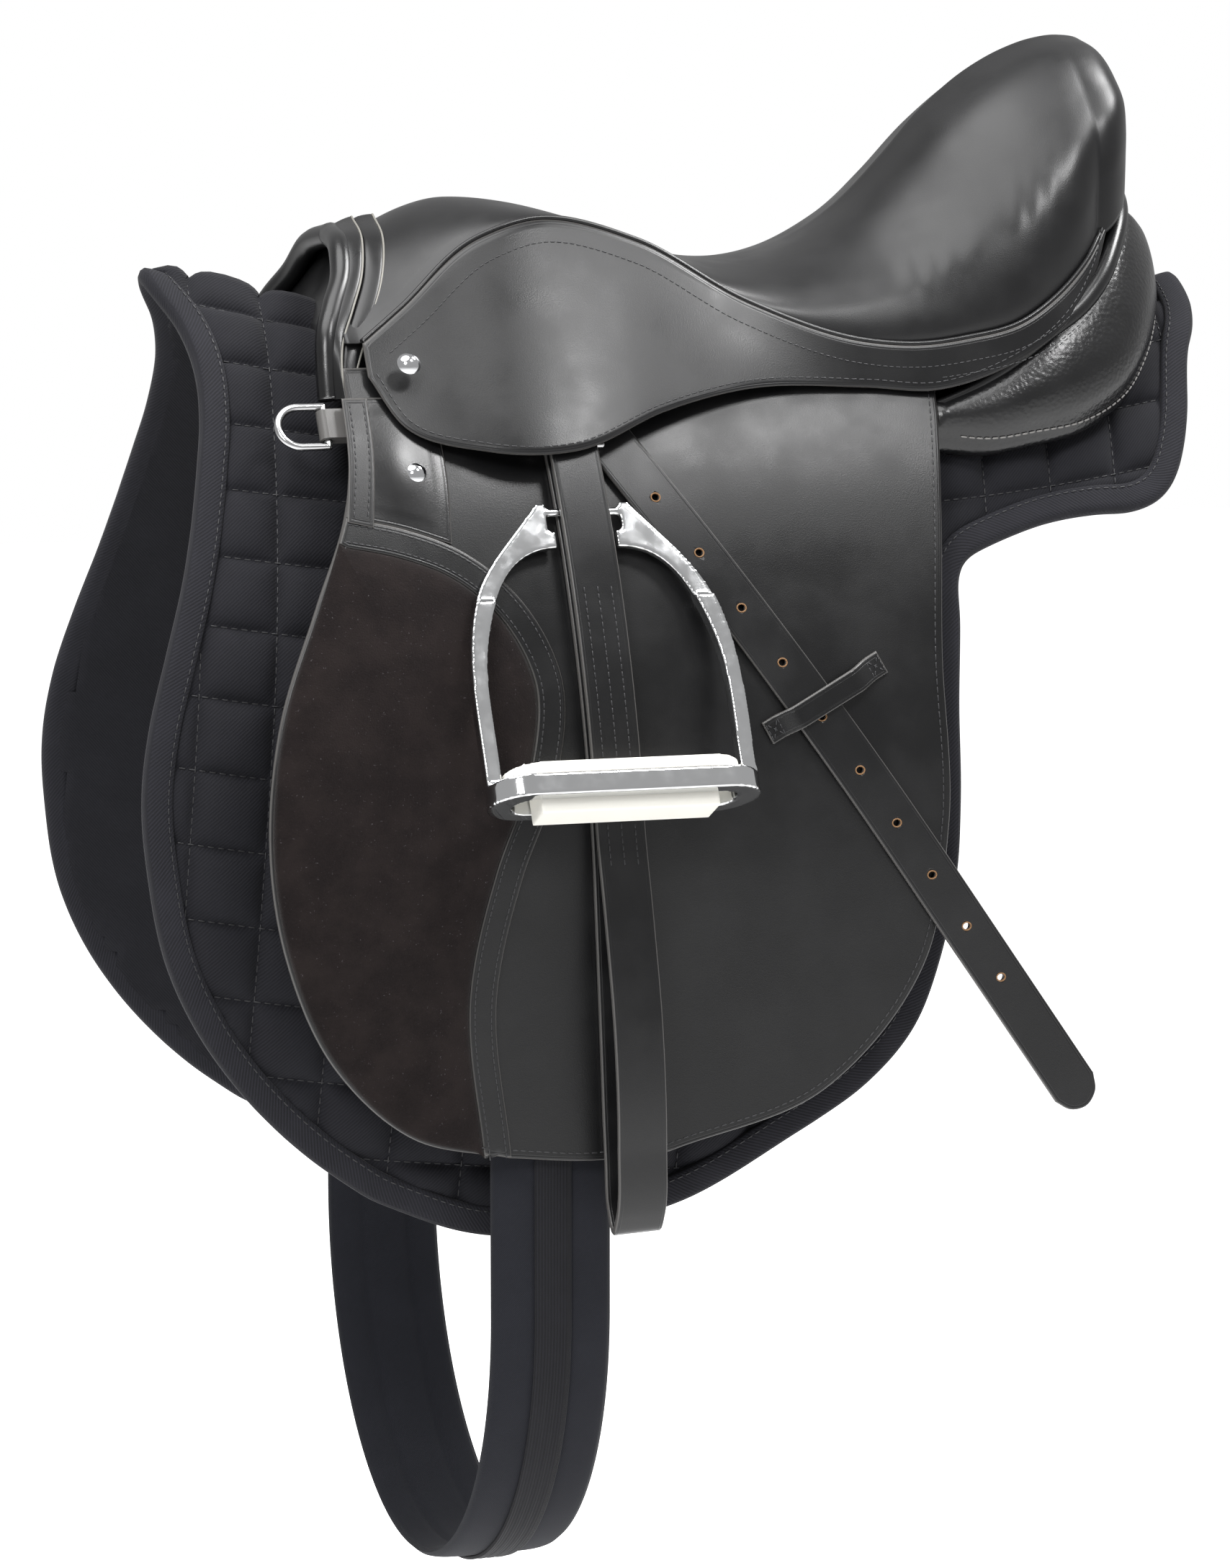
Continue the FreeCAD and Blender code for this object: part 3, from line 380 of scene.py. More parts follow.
# %% [markdown]
# ## Finishes
# Bridle leather is dyed, greased and glazed: a near-black with a soft grey sheen and a fine hair-cell grain.
# The knee pads are suede, brushed on the flesh side. The pad is cotton twill, sewn down in squares over
# wadding and bound with twill tape. Irons are polished and chromed, the tread is moulded rubber.

# %% node helpers
def linear(hexcode):
    """sRGB hex to the linear colour a shader takes."""
    c = np.array([int(hexcode[k:k + 2], 16) for k in (0, 2, 4)]) / 255
    c = np.where(c <= 0.04045, c / 12.92, ((c + 0.055) / 1.055) ** 2.4)
    return tuple(float(v) for v in c) + (1.0,)


def add(tree, kind, settings=None, inputs=None):
    """One node with its settings, its input values, and its input links (given as sockets)."""
    node = tree.nodes.new("ShaderNode" + kind)
    for key, value in (settings or {}).items():
        setattr(node, key, value)
    for key, value in (inputs or {}).items():
        if isinstance(value, bpy.types.NodeSocket):
            tree.links.new(value, node.inputs[key])
        else:
            node.inputs[key].default_value = value
    return node


def material(name, hexcode, roughness, metallic=0.0, **more):
    mat = bpy.data.materials.new(name)
    mat.use_nodes = True
    shader = mat.node_tree.nodes["Principled BSDF"]
    shader.inputs["Base Color"].default_value = linear(hexcode)
    shader.inputs["Roughness"].default_value = roughness
    shader.inputs["Metallic"].default_value = metallic
    for key, value in more.items():
        shader.inputs[key.replace("_", " ")].default_value = value
    return mat, mat.node_tree, shader


def blotches(tree, place, size_mm, detail=3.0, rough=0.55):
    return add(tree, "TexNoise", None, {"Vector": place, "Scale": 1000.0 / size_mm, "Detail": detail,
                                        "Roughness": rough}).outputs["Fac"]


def ranged(tree, value, low, high, to_low, to_high):
    return add(tree, "MapRange", {"interpolation_type": "SMOOTHSTEP"},
               {"Value": value, "From Min": low, "From Max": high, "To Min": to_low,
                "To Max": to_high}).outputs["Result"]


def math_node(tree, operation, a, b=0.0):
    return add(tree, "Math", {"operation": operation}, {0: a, 1: b}).outputs[0]


def mixed(tree, share, a, b):
    node = add(tree, "Mix", {"data_type": "RGBA"}, {"Factor": share})
    for key, value in (("A", a), ("B", b)):
        socket = [s for s in node.inputs if s.name == key and s.type == "RGBA"][0]
        if isinstance(value, bpy.types.NodeSocket):
            tree.links.new(value, socket)
        else:
            socket.default_value = value
    return [s for s in node.outputs if s.type == "RGBA"][0]


def leather(name, hexcode, sheen, rough, grain_mm=0.55, depth=0.12, pebble=0.0, edges=True, coat=0.1):
    """Grained leather. Cells give the grain; blotches vary the polish and mix in the lighter sheen colour, a
    painted sheen;
    and a light grey along the cut edge, a painted edge highlight, and its crease follow the distance from the
    cut edge."""
    mat, tree, shader = material(name, hexcode, rough, IOR=1.5, Specular_IOR_Level=0.36, Coat_Weight=coat,
                                 Coat_Roughness=0.25)
    place_at = add(tree, "TexCoord").outputs["Object"]
    cells = add(tree, "TexVoronoi", {"feature": "SMOOTH_F1"},
                {"Vector": place_at, "Scale": 1000.0 / grain_mm, "Smoothness": 0.35}).outputs["Distance"]
    pores = blotches(tree, place_at, grain_mm * 0.7, 2.0)
    height = math_node(tree, "MULTIPLY",
                       math_node(tree, "ADD", cells, math_node(tree, "MULTIPLY", pores, 0.5)), depth)
    if pebble:
        big = add(tree, "TexVoronoi", {"feature": "SMOOTH_F1"},
                  {"Vector": place_at, "Scale": 1000.0 / 2.2, "Smoothness": 0.7}).outputs["Distance"]
        height = math_node(tree, "ADD", height, math_node(tree, "MULTIPLY", big, pebble))
    soft = blotches(tree, place_at, 38.0, 3.0)
    tree.links.new(ranged(tree, soft, 0.3, 0.7, rough - 0.06, rough + 0.07), shader.inputs["Roughness"])
    # the blotches also mix in the lighter sheen colour, a painted sheen; the roughness change beside it is
    # real
    colour = mixed(tree, ranged(tree, soft, 0.35, 0.75, 0.0, 0.55), linear(hexcode), linear(sheen))
    if edges:
        edge = add(tree, "Attribute", {"attribute_name": "edge_mm"}).outputs["Fac"]
        # light grey within a millimetre of the cut edge: a painted edge highlight
        colour = mixed(tree, ranged(tree, edge, 0.25, 0.9, 0.55, 0.0), colour, linear("6d6b69"))
        crease = math_node(tree, "ABSOLUTE", math_node(tree, "SUBTRACT", edge, 2.0))
        height = math_node(tree, "ADD", height, ranged(tree, crease, 0.0, 0.5, -0.35, 0.0))
    tree.links.new(colour, shader.inputs["Base Color"])
    bump = add(tree, "Bump", None, {"Height": height, "Strength": 0.55, "Distance": 0.0005})
    tree.links.new(bump.outputs["Normal"], shader.inputs["Normal"])
    return mat


DIAGONAL_BANDS, STRAIGHT_BANDS = 444.0, 314.0    # a band texture's scale for one band a millimetre


def cloth(name, hexcode, light, rough, pitch_mm=1.2, depth=0.5, diagonal=True):
    """Woven cloth. Ridges run diagonally in the piece's own flat map, which is in metres."""
    mat, tree, shader = material(name, hexcode, rough, Specular_IOR_Level=0.2, Sheen_Weight=0.05,
                                 Sheen_Roughness=0.45)
    flat = add(tree, "UVMap", {"uv_map": "UVMap"}).outputs["UV"]
    wave = add(tree, "TexWave", {"wave_type": "BANDS", "bands_direction": "DIAGONAL" if diagonal else "Y"},
               {"Vector": flat, "Scale": (DIAGONAL_BANDS if diagonal else STRAIGHT_BANDS) / pitch_mm,
                "Distortion": 0.6, "Detail": 1.0, "Detail Scale": 2.0}).outputs["Fac"]
    fuzz = blotches(tree, flat, 0.5, 2.0)
    wide = blotches(tree, flat, 30.0, 3.0)
    colour = mixed(tree, ranged(tree, wave, 0.2, 0.9, 0.0, 0.55), linear(hexcode), linear(light))
    colour = mixed(tree, ranged(tree, wide, 0.35, 0.8, 0.0, 0.3), colour, linear(light))
    tree.links.new(colour, shader.inputs["Base Color"])
    height = math_node(tree, "ADD", math_node(tree, "MULTIPLY", wave, depth),
                       math_node(tree, "MULTIPLY", fuzz, 0.3))
    bump = add(tree, "Bump", None, {"Height": height, "Strength": 0.5, "Distance": 0.0004})
    tree.links.new(bump.outputs["Normal"], shader.inputs["Normal"])
    return mat


def suede(name, hexcode, light):
    """Brushed flesh side of leather: a dull nap in soft strokes, with pale fibres lying here and there."""
    mat, tree, shader = material(name, hexcode, 0.95, Specular_IOR_Level=0.15, Sheen_Weight=0.05,
                                 Sheen_Roughness=0.5)
    at = add(tree, "TexCoord").outputs["Object"]
    strokes = blotches(tree, at, 22.0, 4.0, 0.6)
    nap = blotches(tree, at, 0.9, 3.0, 0.7)
    specks = blotches(tree, at, 1.6, 2.0, 0.9)
    colour = mixed(tree, ranged(tree, strokes, 0.35, 0.7, 0.0, 0.75), linear(hexcode), linear(light))
    colour = mixed(tree, ranged(tree, nap, 0.35, 0.75, 0.0, 0.45), colour, linear(light))
    colour = mixed(tree, ranged(tree, specks, 0.66, 0.80, 0.0, 0.35), colour, linear("8a868a"))
    tree.links.new(colour, shader.inputs["Base Color"])
    bump = add(tree, "Bump", None, {"Height": nap, "Strength": 0.6, "Distance": 0.0006})
    tree.links.new(bump.outputs["Normal"], shader.inputs["Normal"])
    return mat


def metal(name, hexcode, rough, metallic=1.0):
    mat, tree, shader = material(name, hexcode, rough, metallic)
    at = add(tree, "TexCoord").outputs["Object"]
    haze = blotches(tree, at, 9.0, 4.0)
    tree.links.new(ranged(tree, haze, 0.3, 0.8, rough * 0.7, rough * 1.6), shader.inputs["Roughness"])
    return mat


def plain(name, hexcode, rough, grain_mm=0.8, strength=0.15):
    mat, tree, shader = material(name, hexcode, rough)
    at = add(tree, "TexCoord").outputs["Object"]
    fine = blotches(tree, at, grain_mm, 3.0)
    tree.links.new(ranged(tree, blotches(tree, at, 20.0), 0.3, 0.7, rough - 0.06, rough + 0.06),
                   shader.inputs["Roughness"])
    bump = add(tree, "Bump", None, {"Height": fine, "Strength": strength, "Distance": 0.0004})
    tree.links.new(bump.outputs["Normal"], shader.inputs["Normal"])
    return mat


def timber(name, hexcode, dark):
    mat, tree, shader = material(name, hexcode, 0.55)
    at = add(tree, "TexCoord").outputs["Object"]
    rings = add(tree, "TexWave", {"wave_type": "BANDS"},
                {"Vector": at, "Scale": 60.0, "Distortion": 6.0, "Detail": 3.0}).outputs["Fac"]
    tree.links.new(mixed(tree, rings, linear(hexcode), linear(dark)), shader.inputs["Base Color"])
    return mat


# %% the finishes
finishes = {
    "seat_leather": leather("soft cowhide, glazed", "121213", "1a1a1b", 0.36, 0.5, 0.12, edges=False),
    "facing_leather": leather("rolled calf, polished", "0f0f10", "161617", 0.30, 0.5, 0.10, edges=False,
                              coat=0.2),
    "skirt_leather": leather("skirting cowhide, glazed", "111112", "181819", 0.35, 0.6, 0.10),
    "flap_leather": leather("flap cowhide, glazed", "0c0c0d", "141415", 0.37, 0.6, 0.12),
    "trim_leather": leather("trim cowhide, glazed", "0d0d0e", "151516", 0.33, 0.6, 0.12),
    "panel_leather": leather("pebbled calf, glossy", "0f0f10", "171718", 0.26, 0.7, 0.15, pebble=0.8,
                             edges=False, coat=0.35),
    "patch_leather": leather("smooth calf, glossy", "0d0d0e", "151516", 0.25, 0.7, 0.10, coat=0.4),
    "strap_leather": leather("bridle leather, greased", "101011", "181819", 0.34, 0.45, 0.12),
    "suede": suede("suede, brushed", "120d0d", "201a19"),
    "quilted_cotton": cloth("cotton twill, quilted", "131317", "222227", 0.85, 1.3),
    "twill_binding": cloth("cotton twill tape", "17171b", "2a2a30", 0.82, 1.5),
    "girth_felt": cloth("brushed cotton over foam", "191a1f", "24252b", 0.92, 0.8, 0.25),
    "girth_web": cloth("ribbed webbing", "121215", "212126", 0.8, 1.6, 0.9, diagonal=False),
    "nail_chrome": metal("brass, chromed and polished", "d9dadc", 0.10),
    "ring_steel": metal("steel, nickel plated", "c9c9ca", 0.18),
    "iron_chrome": metal("steel, chromed and polished", "dcddde", 0.09),
    "plate_steel": metal("steel, dull plated", "8f9092", 0.42),
    "tread_rubber": plain("rubber, moulded", "e9e7df", 0.62),
    "beech_tree": timber("beech, laminated", "b08a5c", "8d6a41"),
}
thread = plain("waxed linen thread, black", "29292b", 0.45, 0.5, 0.3)
# pale grey thread, used on the panel seam
thread_pale = plain("waxed linen thread, pale grey", "7a7876", 0.6, 0.5, 0.3)
# light grey leather for thin tubes along the pommel bands' edges: a painted edge highlight
painted_edge_highlight = leather("band edge, painted highlight grey", "77756f", "8a8882", 0.5, 0.5, 0.15, edges=False)
raw_leather = plain("raw cut leather, tan", "7a5a3a", 0.7, 0.5, 0.3)
print(len(finishes), "finishes")

for row in frame["record"]["subparts"]:
    node = frame["nodes"][row["node"]]
    node.data.materials.clear()
    node.data.materials.append(finishes[row["material_slot"]])

# %% [markdown]
# ## Flap, knee pad and their trim
# The flap is one sheet of 4 mm leather. A suede knee pad is sewn on its front, edged by a double-stitched
# strip, with a glossy patch over the corner by the pommel.

# %% flap
flap_left = smooth([(-138, -395), (-186, -383), (-226, -346), (-250, -292), (-258, -235), (-250, -176),
                    (-228, -122), (-209, -80), (-200, -40), (-199, -10)])
flap_right = smooth([(-55, -397), (28, -370), (80, -310), (93, -240), (94, -152), (103, -80), (111, -26),
                     (112, -14)])
flap_low = smooth([(-138, -395), (-97, -399), (-55, -397)])
flap_top = smooth([(-199, -10), (-40, -10), (112, -14)])
points, quads, keep = slab(flap_low, flap_top, flap_left, flap_right, 0.0, 4.0, 110, 130, edge=1.3)
both("flap", points, quads, "flap_leather", "flap_body", ["flap"], **keep)

trim_outer = smooth([(-209, -80), (-181, -86), (-153, -97), (-126, -120), (-108, -158), (-113, -207),
                     (-132, -256), (-145, -312), (-138, -394)])
trim_inner = beside(trim_outer, 14.0)
trim_inner[0], trim_inner[-1] = (-214, -92), (-152, -391.5)
points, quads, keep = slab(resample([trim_inner[-1], trim_outer[-1]], np.linspace(0, 1, 40)),
                           resample([trim_inner[0], trim_outer[0]], np.linspace(0, 1, 40)),
                           trim_inner[::-1], trim_outer[::-1], 4.05, 2.6, 14, 170, edge=1.0)
both("knee_trim", points, quads, "trim_leather", "flap_body", ["knee_trim"], **keep)

knee_left = smooth([(-152, -391.5), (-187, -381), (-225, -345), (-249, -291), (-257, -235), (-249, -176),
                    (-227, -122), (-214, -92)])
knee_right = trim_inner[::-1]
dot = lambda p: np.repeat(np.asarray(p, float)[None], 30, 0)
points, quads, keep = slab(dot(knee_left[0]), dot(knee_left[-1]), knee_left, knee_right,
                           4.05, 3.0, 70, 130, edge=1.6,
                           crown=lambda d, x, z: 4.2 * (1 - np.exp(-d / 9.0)))
knee_pads = both("knee_pad", points, quads, "suede", "flap_body", ["knee_pad"], **keep)

patch_left = smooth([(-209, -80), (-203, -50), (-200, -24)])
patch_right = smooth([(-157, -94), (-155, -60), (-157, -24)])


def patch_crown(d, x, z):
    """A low swell round the rivet, fading to nothing at the edge."""
    return 1.8 * np.exp(-(((x + 178) / 15) ** 2 + ((z + 55) / 22) ** 2)) * np.clip(d / 8, 0, 1)


points, quads, keep = slab(smooth([(-209, -80), (-181, -86), (-157, -94)]),
                           smooth([(-200, -24), (-157, -24)]), patch_left, patch_right,
                           4.0, 1.8, 40, 50, edge=0.8, crown=patch_crown)
both("flap_patch", points, quads, finishes["patch_leather"], "flap_body", ["flap_patch"], **keep)
points, quads, keep = slab(smooth([(-209, -82), (-196, -85)]), smooth([(-203, -24), (-190, -24)]),
                           smooth([(-209, -82), (-204, -50), (-203, -24)]),
                           smooth([(-196, -85), (-191, -50), (-190, -24)]),
                           5.9, 1.6, 12, 50, edge=0.7)
both("front_strip", points, quads, "trim_leather", "flap_body", **keep)

seam = [sewn(beside(np.r_[flap_low, flap_right[1:]][::-1], 4.3), 4.0, wide=0.7)]
seam += [sewn(beside(trim_outer, k), 6.65, long=2.6, gap=0.8) for k in (2.8, 11.2)]
seam += [sewn(beside(knee_left, 3.2), 6.2, long=2.6, gap=1.0, wide=0.6, lift=0.9)]
seam += [sewn(smooth([(-206 + k, -80), (-201 + k, -50), (-200 + k, -26)]), 7.5, long=2.6, gap=0.9)
         for k in (0.5, 7.5)]
points, quads = gather(seam)
both("flap_stitches", points, quads, thread, "flap_body")
print("flap, knee pad and trim made")

# %% [markdown]
# ## Skirt
# The skirt covers the stirrup bar and the buckle. It is sewn under the seat's welt, stands off over the
# straps, lies close at the nail, and runs on as a narrow sewn band round the cantle. Its lower edge stands
# off the flap; the piece rides no body, so nothing lifts it with the flap.

# %% skirt
welt_line = smooth([(-188, 2), (-166, 18), (-122, 52), (-92, 61), (-39, 50), (15, 19), (73, -1), (104, -3),
                    (128, 0), (154, 6), (177, 19), (197, 35), (220, 60)], 400)
skirt_low = smooth([(-188, -14), (-174, -38), (-135, -50), (-91, -50), (-42, -33), (9, -23), (73, -24),
                    (109, -26), (147, -15), (186, 10), (205, 32), (219.4, 57)], 400)
stand_top = [(-195, 6), (-150, 10), (-112, 17), (-60, 17), (0, 13), (60, 13), (104, 15), (140, 20), (177, 25),
             (200, 25), (222, 20)]
stand_low = [(-195, 6), (-150, 10), (-118, 17.2), (-60, 17.2), (-30, 13), (0, 9.6), (60, 5.2), (109, 5.2),
             (147, 13), (186, 21), (222, 19)]


def skirt_out(x, z):
    """The skirt's inner layer: read along its top and lower edges and blended by height between them."""
    high = np.interp(x, welt_line[:, 0], welt_line[:, 1])
    low = np.interp(x, skirt_low[:, 0], skirt_low[:, 1])
    share = np.clip((z - low) / np.maximum(high - low, 1.0), 0, 1)
    return table(stand_low, x, 1) * (1 - share) + table(stand_top, x, 1) * share


SKIRT = 3.5
points, quads, keep = slab(skirt_low, welt_line, smooth([(-188, -14), (-188, 2)]),
                           smooth([(219.4, 57), (220, 60)]), skirt_out, SKIRT, 190, 44, edge=1.3)
bend = ("saddle", "lip_body", (-40, -106, 6), (-40, -115, -13))
both("skirt", points, quads, "skirt_leather", None, ["skirt", "skirt_lip"], bend=bend, **keep)

outer = lambda x, z: skirt_out(x, z) + SKIRT
inside_low = beside(skirt_low, -4.2)
inside_top = beside(welt_line, 11.0)
part = inside_top[(inside_top[:, 0] > -176) & (inside_top[:, 0] < 216)]
seam = [sewn(inside_low[(inside_low[:, 0] > -186) & (inside_low[:, 0] < 214)], outer, wide=0.65),
        sewn(part, outer, long=2.4, gap=1.0, wide=0.6)]
band = beside(welt_line, 17.0)
band = band[(band[:, 0] > 112) & (band[:, 0] < 200)]
seam.append(sewn(band, outer, long=2.6, gap=0.9, wide=0.6))
points, quads = gather(seam)
both("skirt_stitches", points, quads, thread, None, bend=bend)

welt_path = on_side(welt_line, skirt_out(welt_line[:, 0], welt_line[:, 1]) + 1.2) + [0, 0, 0.8]
points, quads = sweep(welt_path, side_normal(welt_line[:, 1]), round_section(1.5, 10))
both("seat_welt", points, quads, "facing_leather", "saddle")
print("skirt made")

# %% [markdown]
# ## Stirrup leather
# One long strap: over the bar, down the front through the iron's eye, round in a slack loop, up the rear and
# out to the back under its keeper. Ten punched holes run down the tail.

# %% stirrup leather
THICK = 3.4
loop = smooth([(14.7, -14), (14.7, -50), (14.7, -130), (14.7, -190), (14.7, -236), (22, -276), (30, -330),
               (29, -388), (22, -424), (14, -433), (7.6, -423), (6.3, -398), (6.3, -330), (6.3, -240),
               (6.3, -150), (6.3, -50), (6.3, -14)], 420)
path = np.stack([np.full(len(loop), -93.0), side_y(loop[:, 1], loop[:, 0]), loop[:, 1]], 1)
lean = math.radians(2.3)
dz = path[:, 2] + 12.0
path[:, 0], path[:, 2] = -93.0 - dz * math.sin(lean), -12.0 + dz * math.cos(lean)
tangent = frames(path)
normal = np.cross(np.array([math.cos(lean), 0, math.sin(lean)]), tangent)
section = strap_section(25.0, THICK, 0.9)
points, quads = sweep(path, normal, section)
across = np.tile(12.5 - np.abs(section[:, 0]), len(path))
both("stirrup_leather", points, quads, "strap_leather", "leather_body", ["stirrup_leather"], edge_mm=across)

# %% the tail with its holes
tail_a, tail_b = np.array([-72.0, -43.0]), np.array([168.0, -387.0])
tail_u = (tail_b - tail_a) / np.linalg.norm(tail_b - tail_a)
tail_v = np.array([-tail_u[1], tail_u[0]])
tail_long = float(np.linalg.norm(tail_b - tail_a))
tail_at = lambda along, across: tail_a + tail_u * along + tail_v * across
edge_low = smooth([tail_at(0, -12.5), tail_at(tail_long - 12, -12.5)], 200)
edge_high = smooth([tail_at(0, 12.5), tail_at(tail_long - 12, 12.5)], 200)
tip = smooth([tail_at(tail_long - 12, -12.5), tail_at(tail_long - 3.5, -8), tail_at(tail_long, 0),
              tail_at(tail_long - 3.5, 8),
              tail_at(tail_long - 12, 12.5)], 60)
points, quads, keep = slab(edge_low, edge_high, smooth([tail_at(0, -12.5), tail_at(0, 12.5)], 60), tip,
                           4.65, THICK, 200, 20, edge=1.0)
hole_shares = (38.0 + 33.0 * np.arange(10)) / tail_long
tails = both("tail_strap", points, quads, "strap_leather", "leather_body", **keep)
punches = []
for share in hole_shares:
    at = tail_a + (tail_b - tail_a) * share
    rod = on_side(np.repeat(at[None], 2, 0), np.array([-2.0, 12.0]))
    ring, faces = sweep(rod, np.repeat([[1.0, 0, 0]], 2, 0), round_section(2.3, 24, 0.86))
    punches.append((ring, faces))
for tail, flip in zip(tails, (1, -1)):
    points, quads = gather(punches)
    cutter = build("cutter", points * [1, flip, 1], quads if flip > 0 else quads[:, ::-1], thread)
    cut = tail.modifiers.new("holes", "BOOLEAN")
    cut.object, cut.operation, cut.solver = cutter, "DIFFERENCE", "EXACT"
    bpy.context.view_layer.update()
    cut_mesh = bpy.data.meshes.new_from_object(tail.evaluated_get(bpy.context.evaluated_depsgraph_get()))
    tail.modifiers.clear()
    tail.data = cut_mesh
    bpy.data.objects.remove(cutter)
rims = []
for share in hole_shares:
    at = tail_a + (tail_b - tail_a) * share
    turn = np.linspace(0, 2 * math.pi, 24, endpoint=False)
    ring = on_side(at + np.stack([2.35 * np.cos(turn), 2.35 * 0.86 * np.sin(turn)], 1), 7.75)
    rims.append(sweep(ring, np.repeat(side_normal(at[1])[None], 24, 0), round_section(0.42, 8, 1.6),
                      closed=True))
points, quads = gather(rims)
both("hole_rims", points, quads, raw_leather, "leather_body")

seam = []
for k in (-7.0, 0.0, 7.0):
    seam.append(stitches(path[50:118] + [k, 0, 0] + normal[50:118] * -(THICK / 2) * np.sign(normal[60, 1]),
                         side_normal(path[50:118, 2]), long=2.6, gap=0.9, wide=0.7))
points, quads = gather(seam)
both("strap_stitches", points, quads, thread, "leather_body")
print("leathers made; holes per side:", len(hole_shares))

# %% keeper
keeper_a, keeper_b = np.array([-3.0, -190.0]), np.array([60.0, -157.0])
ku = (keeper_b - keeper_a) / np.linalg.norm(keeper_b - keeper_a)
kv = np.array([-ku[1], ku[0]])
klong = float(np.linalg.norm(keeper_b - keeper_a))


def keeper_out(x, z):
    """Flat on the flap at both feet, 8.6 mm up over the strap, with a smooth rise between."""
    along = (x - keeper_a[0]) * ku[0] + (z - keeper_a[1]) * ku[1]
    rise = np.clip(np.minimum(along, klong - along) / 13.0 - 0.45, 0, 1)
    return 4.1 + 4.5 * rise * rise * (3 - 2 * rise)


corner = lambda along, across: keeper_a + ku * along + kv * across
points, quads, keep = slab(smooth([corner(0, -6), corner(klong, -6)]),
                           smooth([corner(0, 6), corner(klong, 6)]),
                           smooth([corner(0, -6), corner(0, 6)]),
                           smooth([corner(klong, -6), corner(klong, 6)]), keeper_out, 2.3, 90, 12,
                           edge=0.9)
both("tail_keeper", points, quads, "trim_leather", "flap_body", ["tail_keeper"], **keep)
seam = []
for foot in (4.5, klong - 4.5):
    for a, b in (((-3, -4), (3, 4)), ((-3, 4), (3, -4)), ((-3.4, -4.4), (-3.4, 4.4)),
                 ((3.4, -4.4), (3.4, 4.4))):
        seam.append(sewn(smooth([corner(foot + a[0], a[1]), corner(foot + b[0], b[1])], 12), 6.5, long=2.2,
                         gap=0.7, wide=0.7))
points, quads = gather(seam)
both("keeper_stitches", points, quads, thread, "flap_body")

# %% [markdown]
# ## Seat
# The seat leather is stretched over foam on the tree: narrow at the waist, wide and high at the cantle. In
# front each cross-section is a dome, z = w + (t - w)(1 - (y/h)^2)^a, between the welt's height w and the
# top's height t. Behind, the dome stands on a steep wall that the leather is pulled down over, with fine
# stretch wrinkles where dome and wall meet.

# %% seat
seat_rows = [(-196, 50, 1.2, 3), (-172, 60, 1.15, 3), (-150, 67, 0.95, 3), (-128, 71, 0.8, 3),
             (-92, 69, 0.55, 3), (-60, 60, 0.5, 3), (-39, 53, 0.5, 3), (-10, 43, 0.55, 4), (30, 40, 0.56, 5),
             (60, 47, 0.5, 5), (90, 65, 0.45, 7), (117, 91, 0.40, 10), (141, 117, 0.36, 14),
             (165, 136, 0.33, 20), (186, 147, 0.30, 29), (201, 152, 0.30, 36), (217, 154, 0.30, 42),
             (229, 152, 0.30, 42), (236, 146, 0.30, 38), (241, 134, 0.30, 28), (243, 118, 0.30, 18)]
rear_turn = np.linspace(0, math.pi / 2, 36)
welt_y = -side_y(welt_line[:, 1], skirt_out(welt_line[:, 0], welt_line[:, 1]) + 1.0)
xs = np.r_[np.linspace(-196, 211, 190), 211 + 32 * np.sin(rear_turn[1:])]
turned = np.clip((xs - 211) / 32, 0, 1)
halves = np.interp(np.minimum(xs, 211), welt_line[:, 0], welt_y) * (1 - turned ** 2) ** 0.42
lows = np.interp(np.minimum(xs, 211), welt_line[:, 0], welt_line[:, 1])
lows = lows + (82 - lows) * turned ** 1.5
tops = np.maximum(table(seat_rows, xs, 1), lows + 2.5)
power, wall = table(seat_rows, xs, 2), table(seat_rows, xs, 3)
turn = np.linspace(-1, 1, 121)
s = np.sin(turn * math.pi / 2)
dome_y = halves[:, None] * s
dome_z = lows[:, None] + (tops - lows)[:, None] * np.clip(1 - s ** 2, 0, 1)[None] ** power[:, None]


def walled(half, low, top, rise, share):
    """A dome on a wall: through the centre, the shoulder at height low + rise, and the foot."""
    at = low + min(rise, 0.85 * (top - low))
    dome = top - at
    points = smooth([(0, top), (0.35 * half, at + 0.88 * dome), (0.7 * half, at + 0.57 * dome),
                     (0.945 * half, at + 0.22 * dome),
                     (half, at - 0.12 * (at - low)), (half, (at + low) / 2), (0.985 * half, low)], 160)
    return resample(points, share)


section = np.array([walled(*row, np.abs(turn)) for row in zip(np.maximum(halves, 0.4), lows, tops, wall)])
wall_y, wall_z = section[..., 0] * np.sign(turn), section[..., 1]
blend_in = np.clip((xs - 50) / 60, 0, 1)[:, None]
blend_in = blend_in ** 2 * (3 - 2 * blend_in)
y = dome_y * (1 - blend_in) + wall_y * blend_in
z = dome_z * (1 - blend_in) + wall_z * blend_in
behind = np.interp(xs, [70, 110, 195, 225], [0, 1, 1, 0])[:, None]
shoulder = np.exp(-((np.abs(turn)[None] - 0.70) / 0.11) ** 2) * behind
wrinkle = np.sin(xs[:, None] / 2.3 + 2.2 * np.sin(xs[:, None] / 9.0) + 5.0 * np.abs(turn)[None])
z += 0.32 * shoulder * wrinkle
ahead = np.interp(xs, [-196, -120], [1, 0])[:, None]
cut_back = ahead * 22.0 * (1 - np.clip(np.abs(s) / 0.9, 0, 1) ** 2)[None]
grid = np.stack([np.broadcast_to(xs[:, None], z.shape) + cut_back, y, z], -1)
count = len(turn)
cap = np.array([[k, k + 1, count - 2 - k, count - 1 - k] for k in range(count // 2 - 1)])
quads = np.r_[grid_quads(len(xs), count, wrap_cols=True)[:, ::-1], cap]
seat = build("seat_cover", grid.reshape(-1, 3), quads, finishes["seat_leather"])
welded(seat)
place(seat, "saddle", ["seat"], "seat_leather")
print("seat", round(float(tops.max()), 1), "mm high at the cantle")

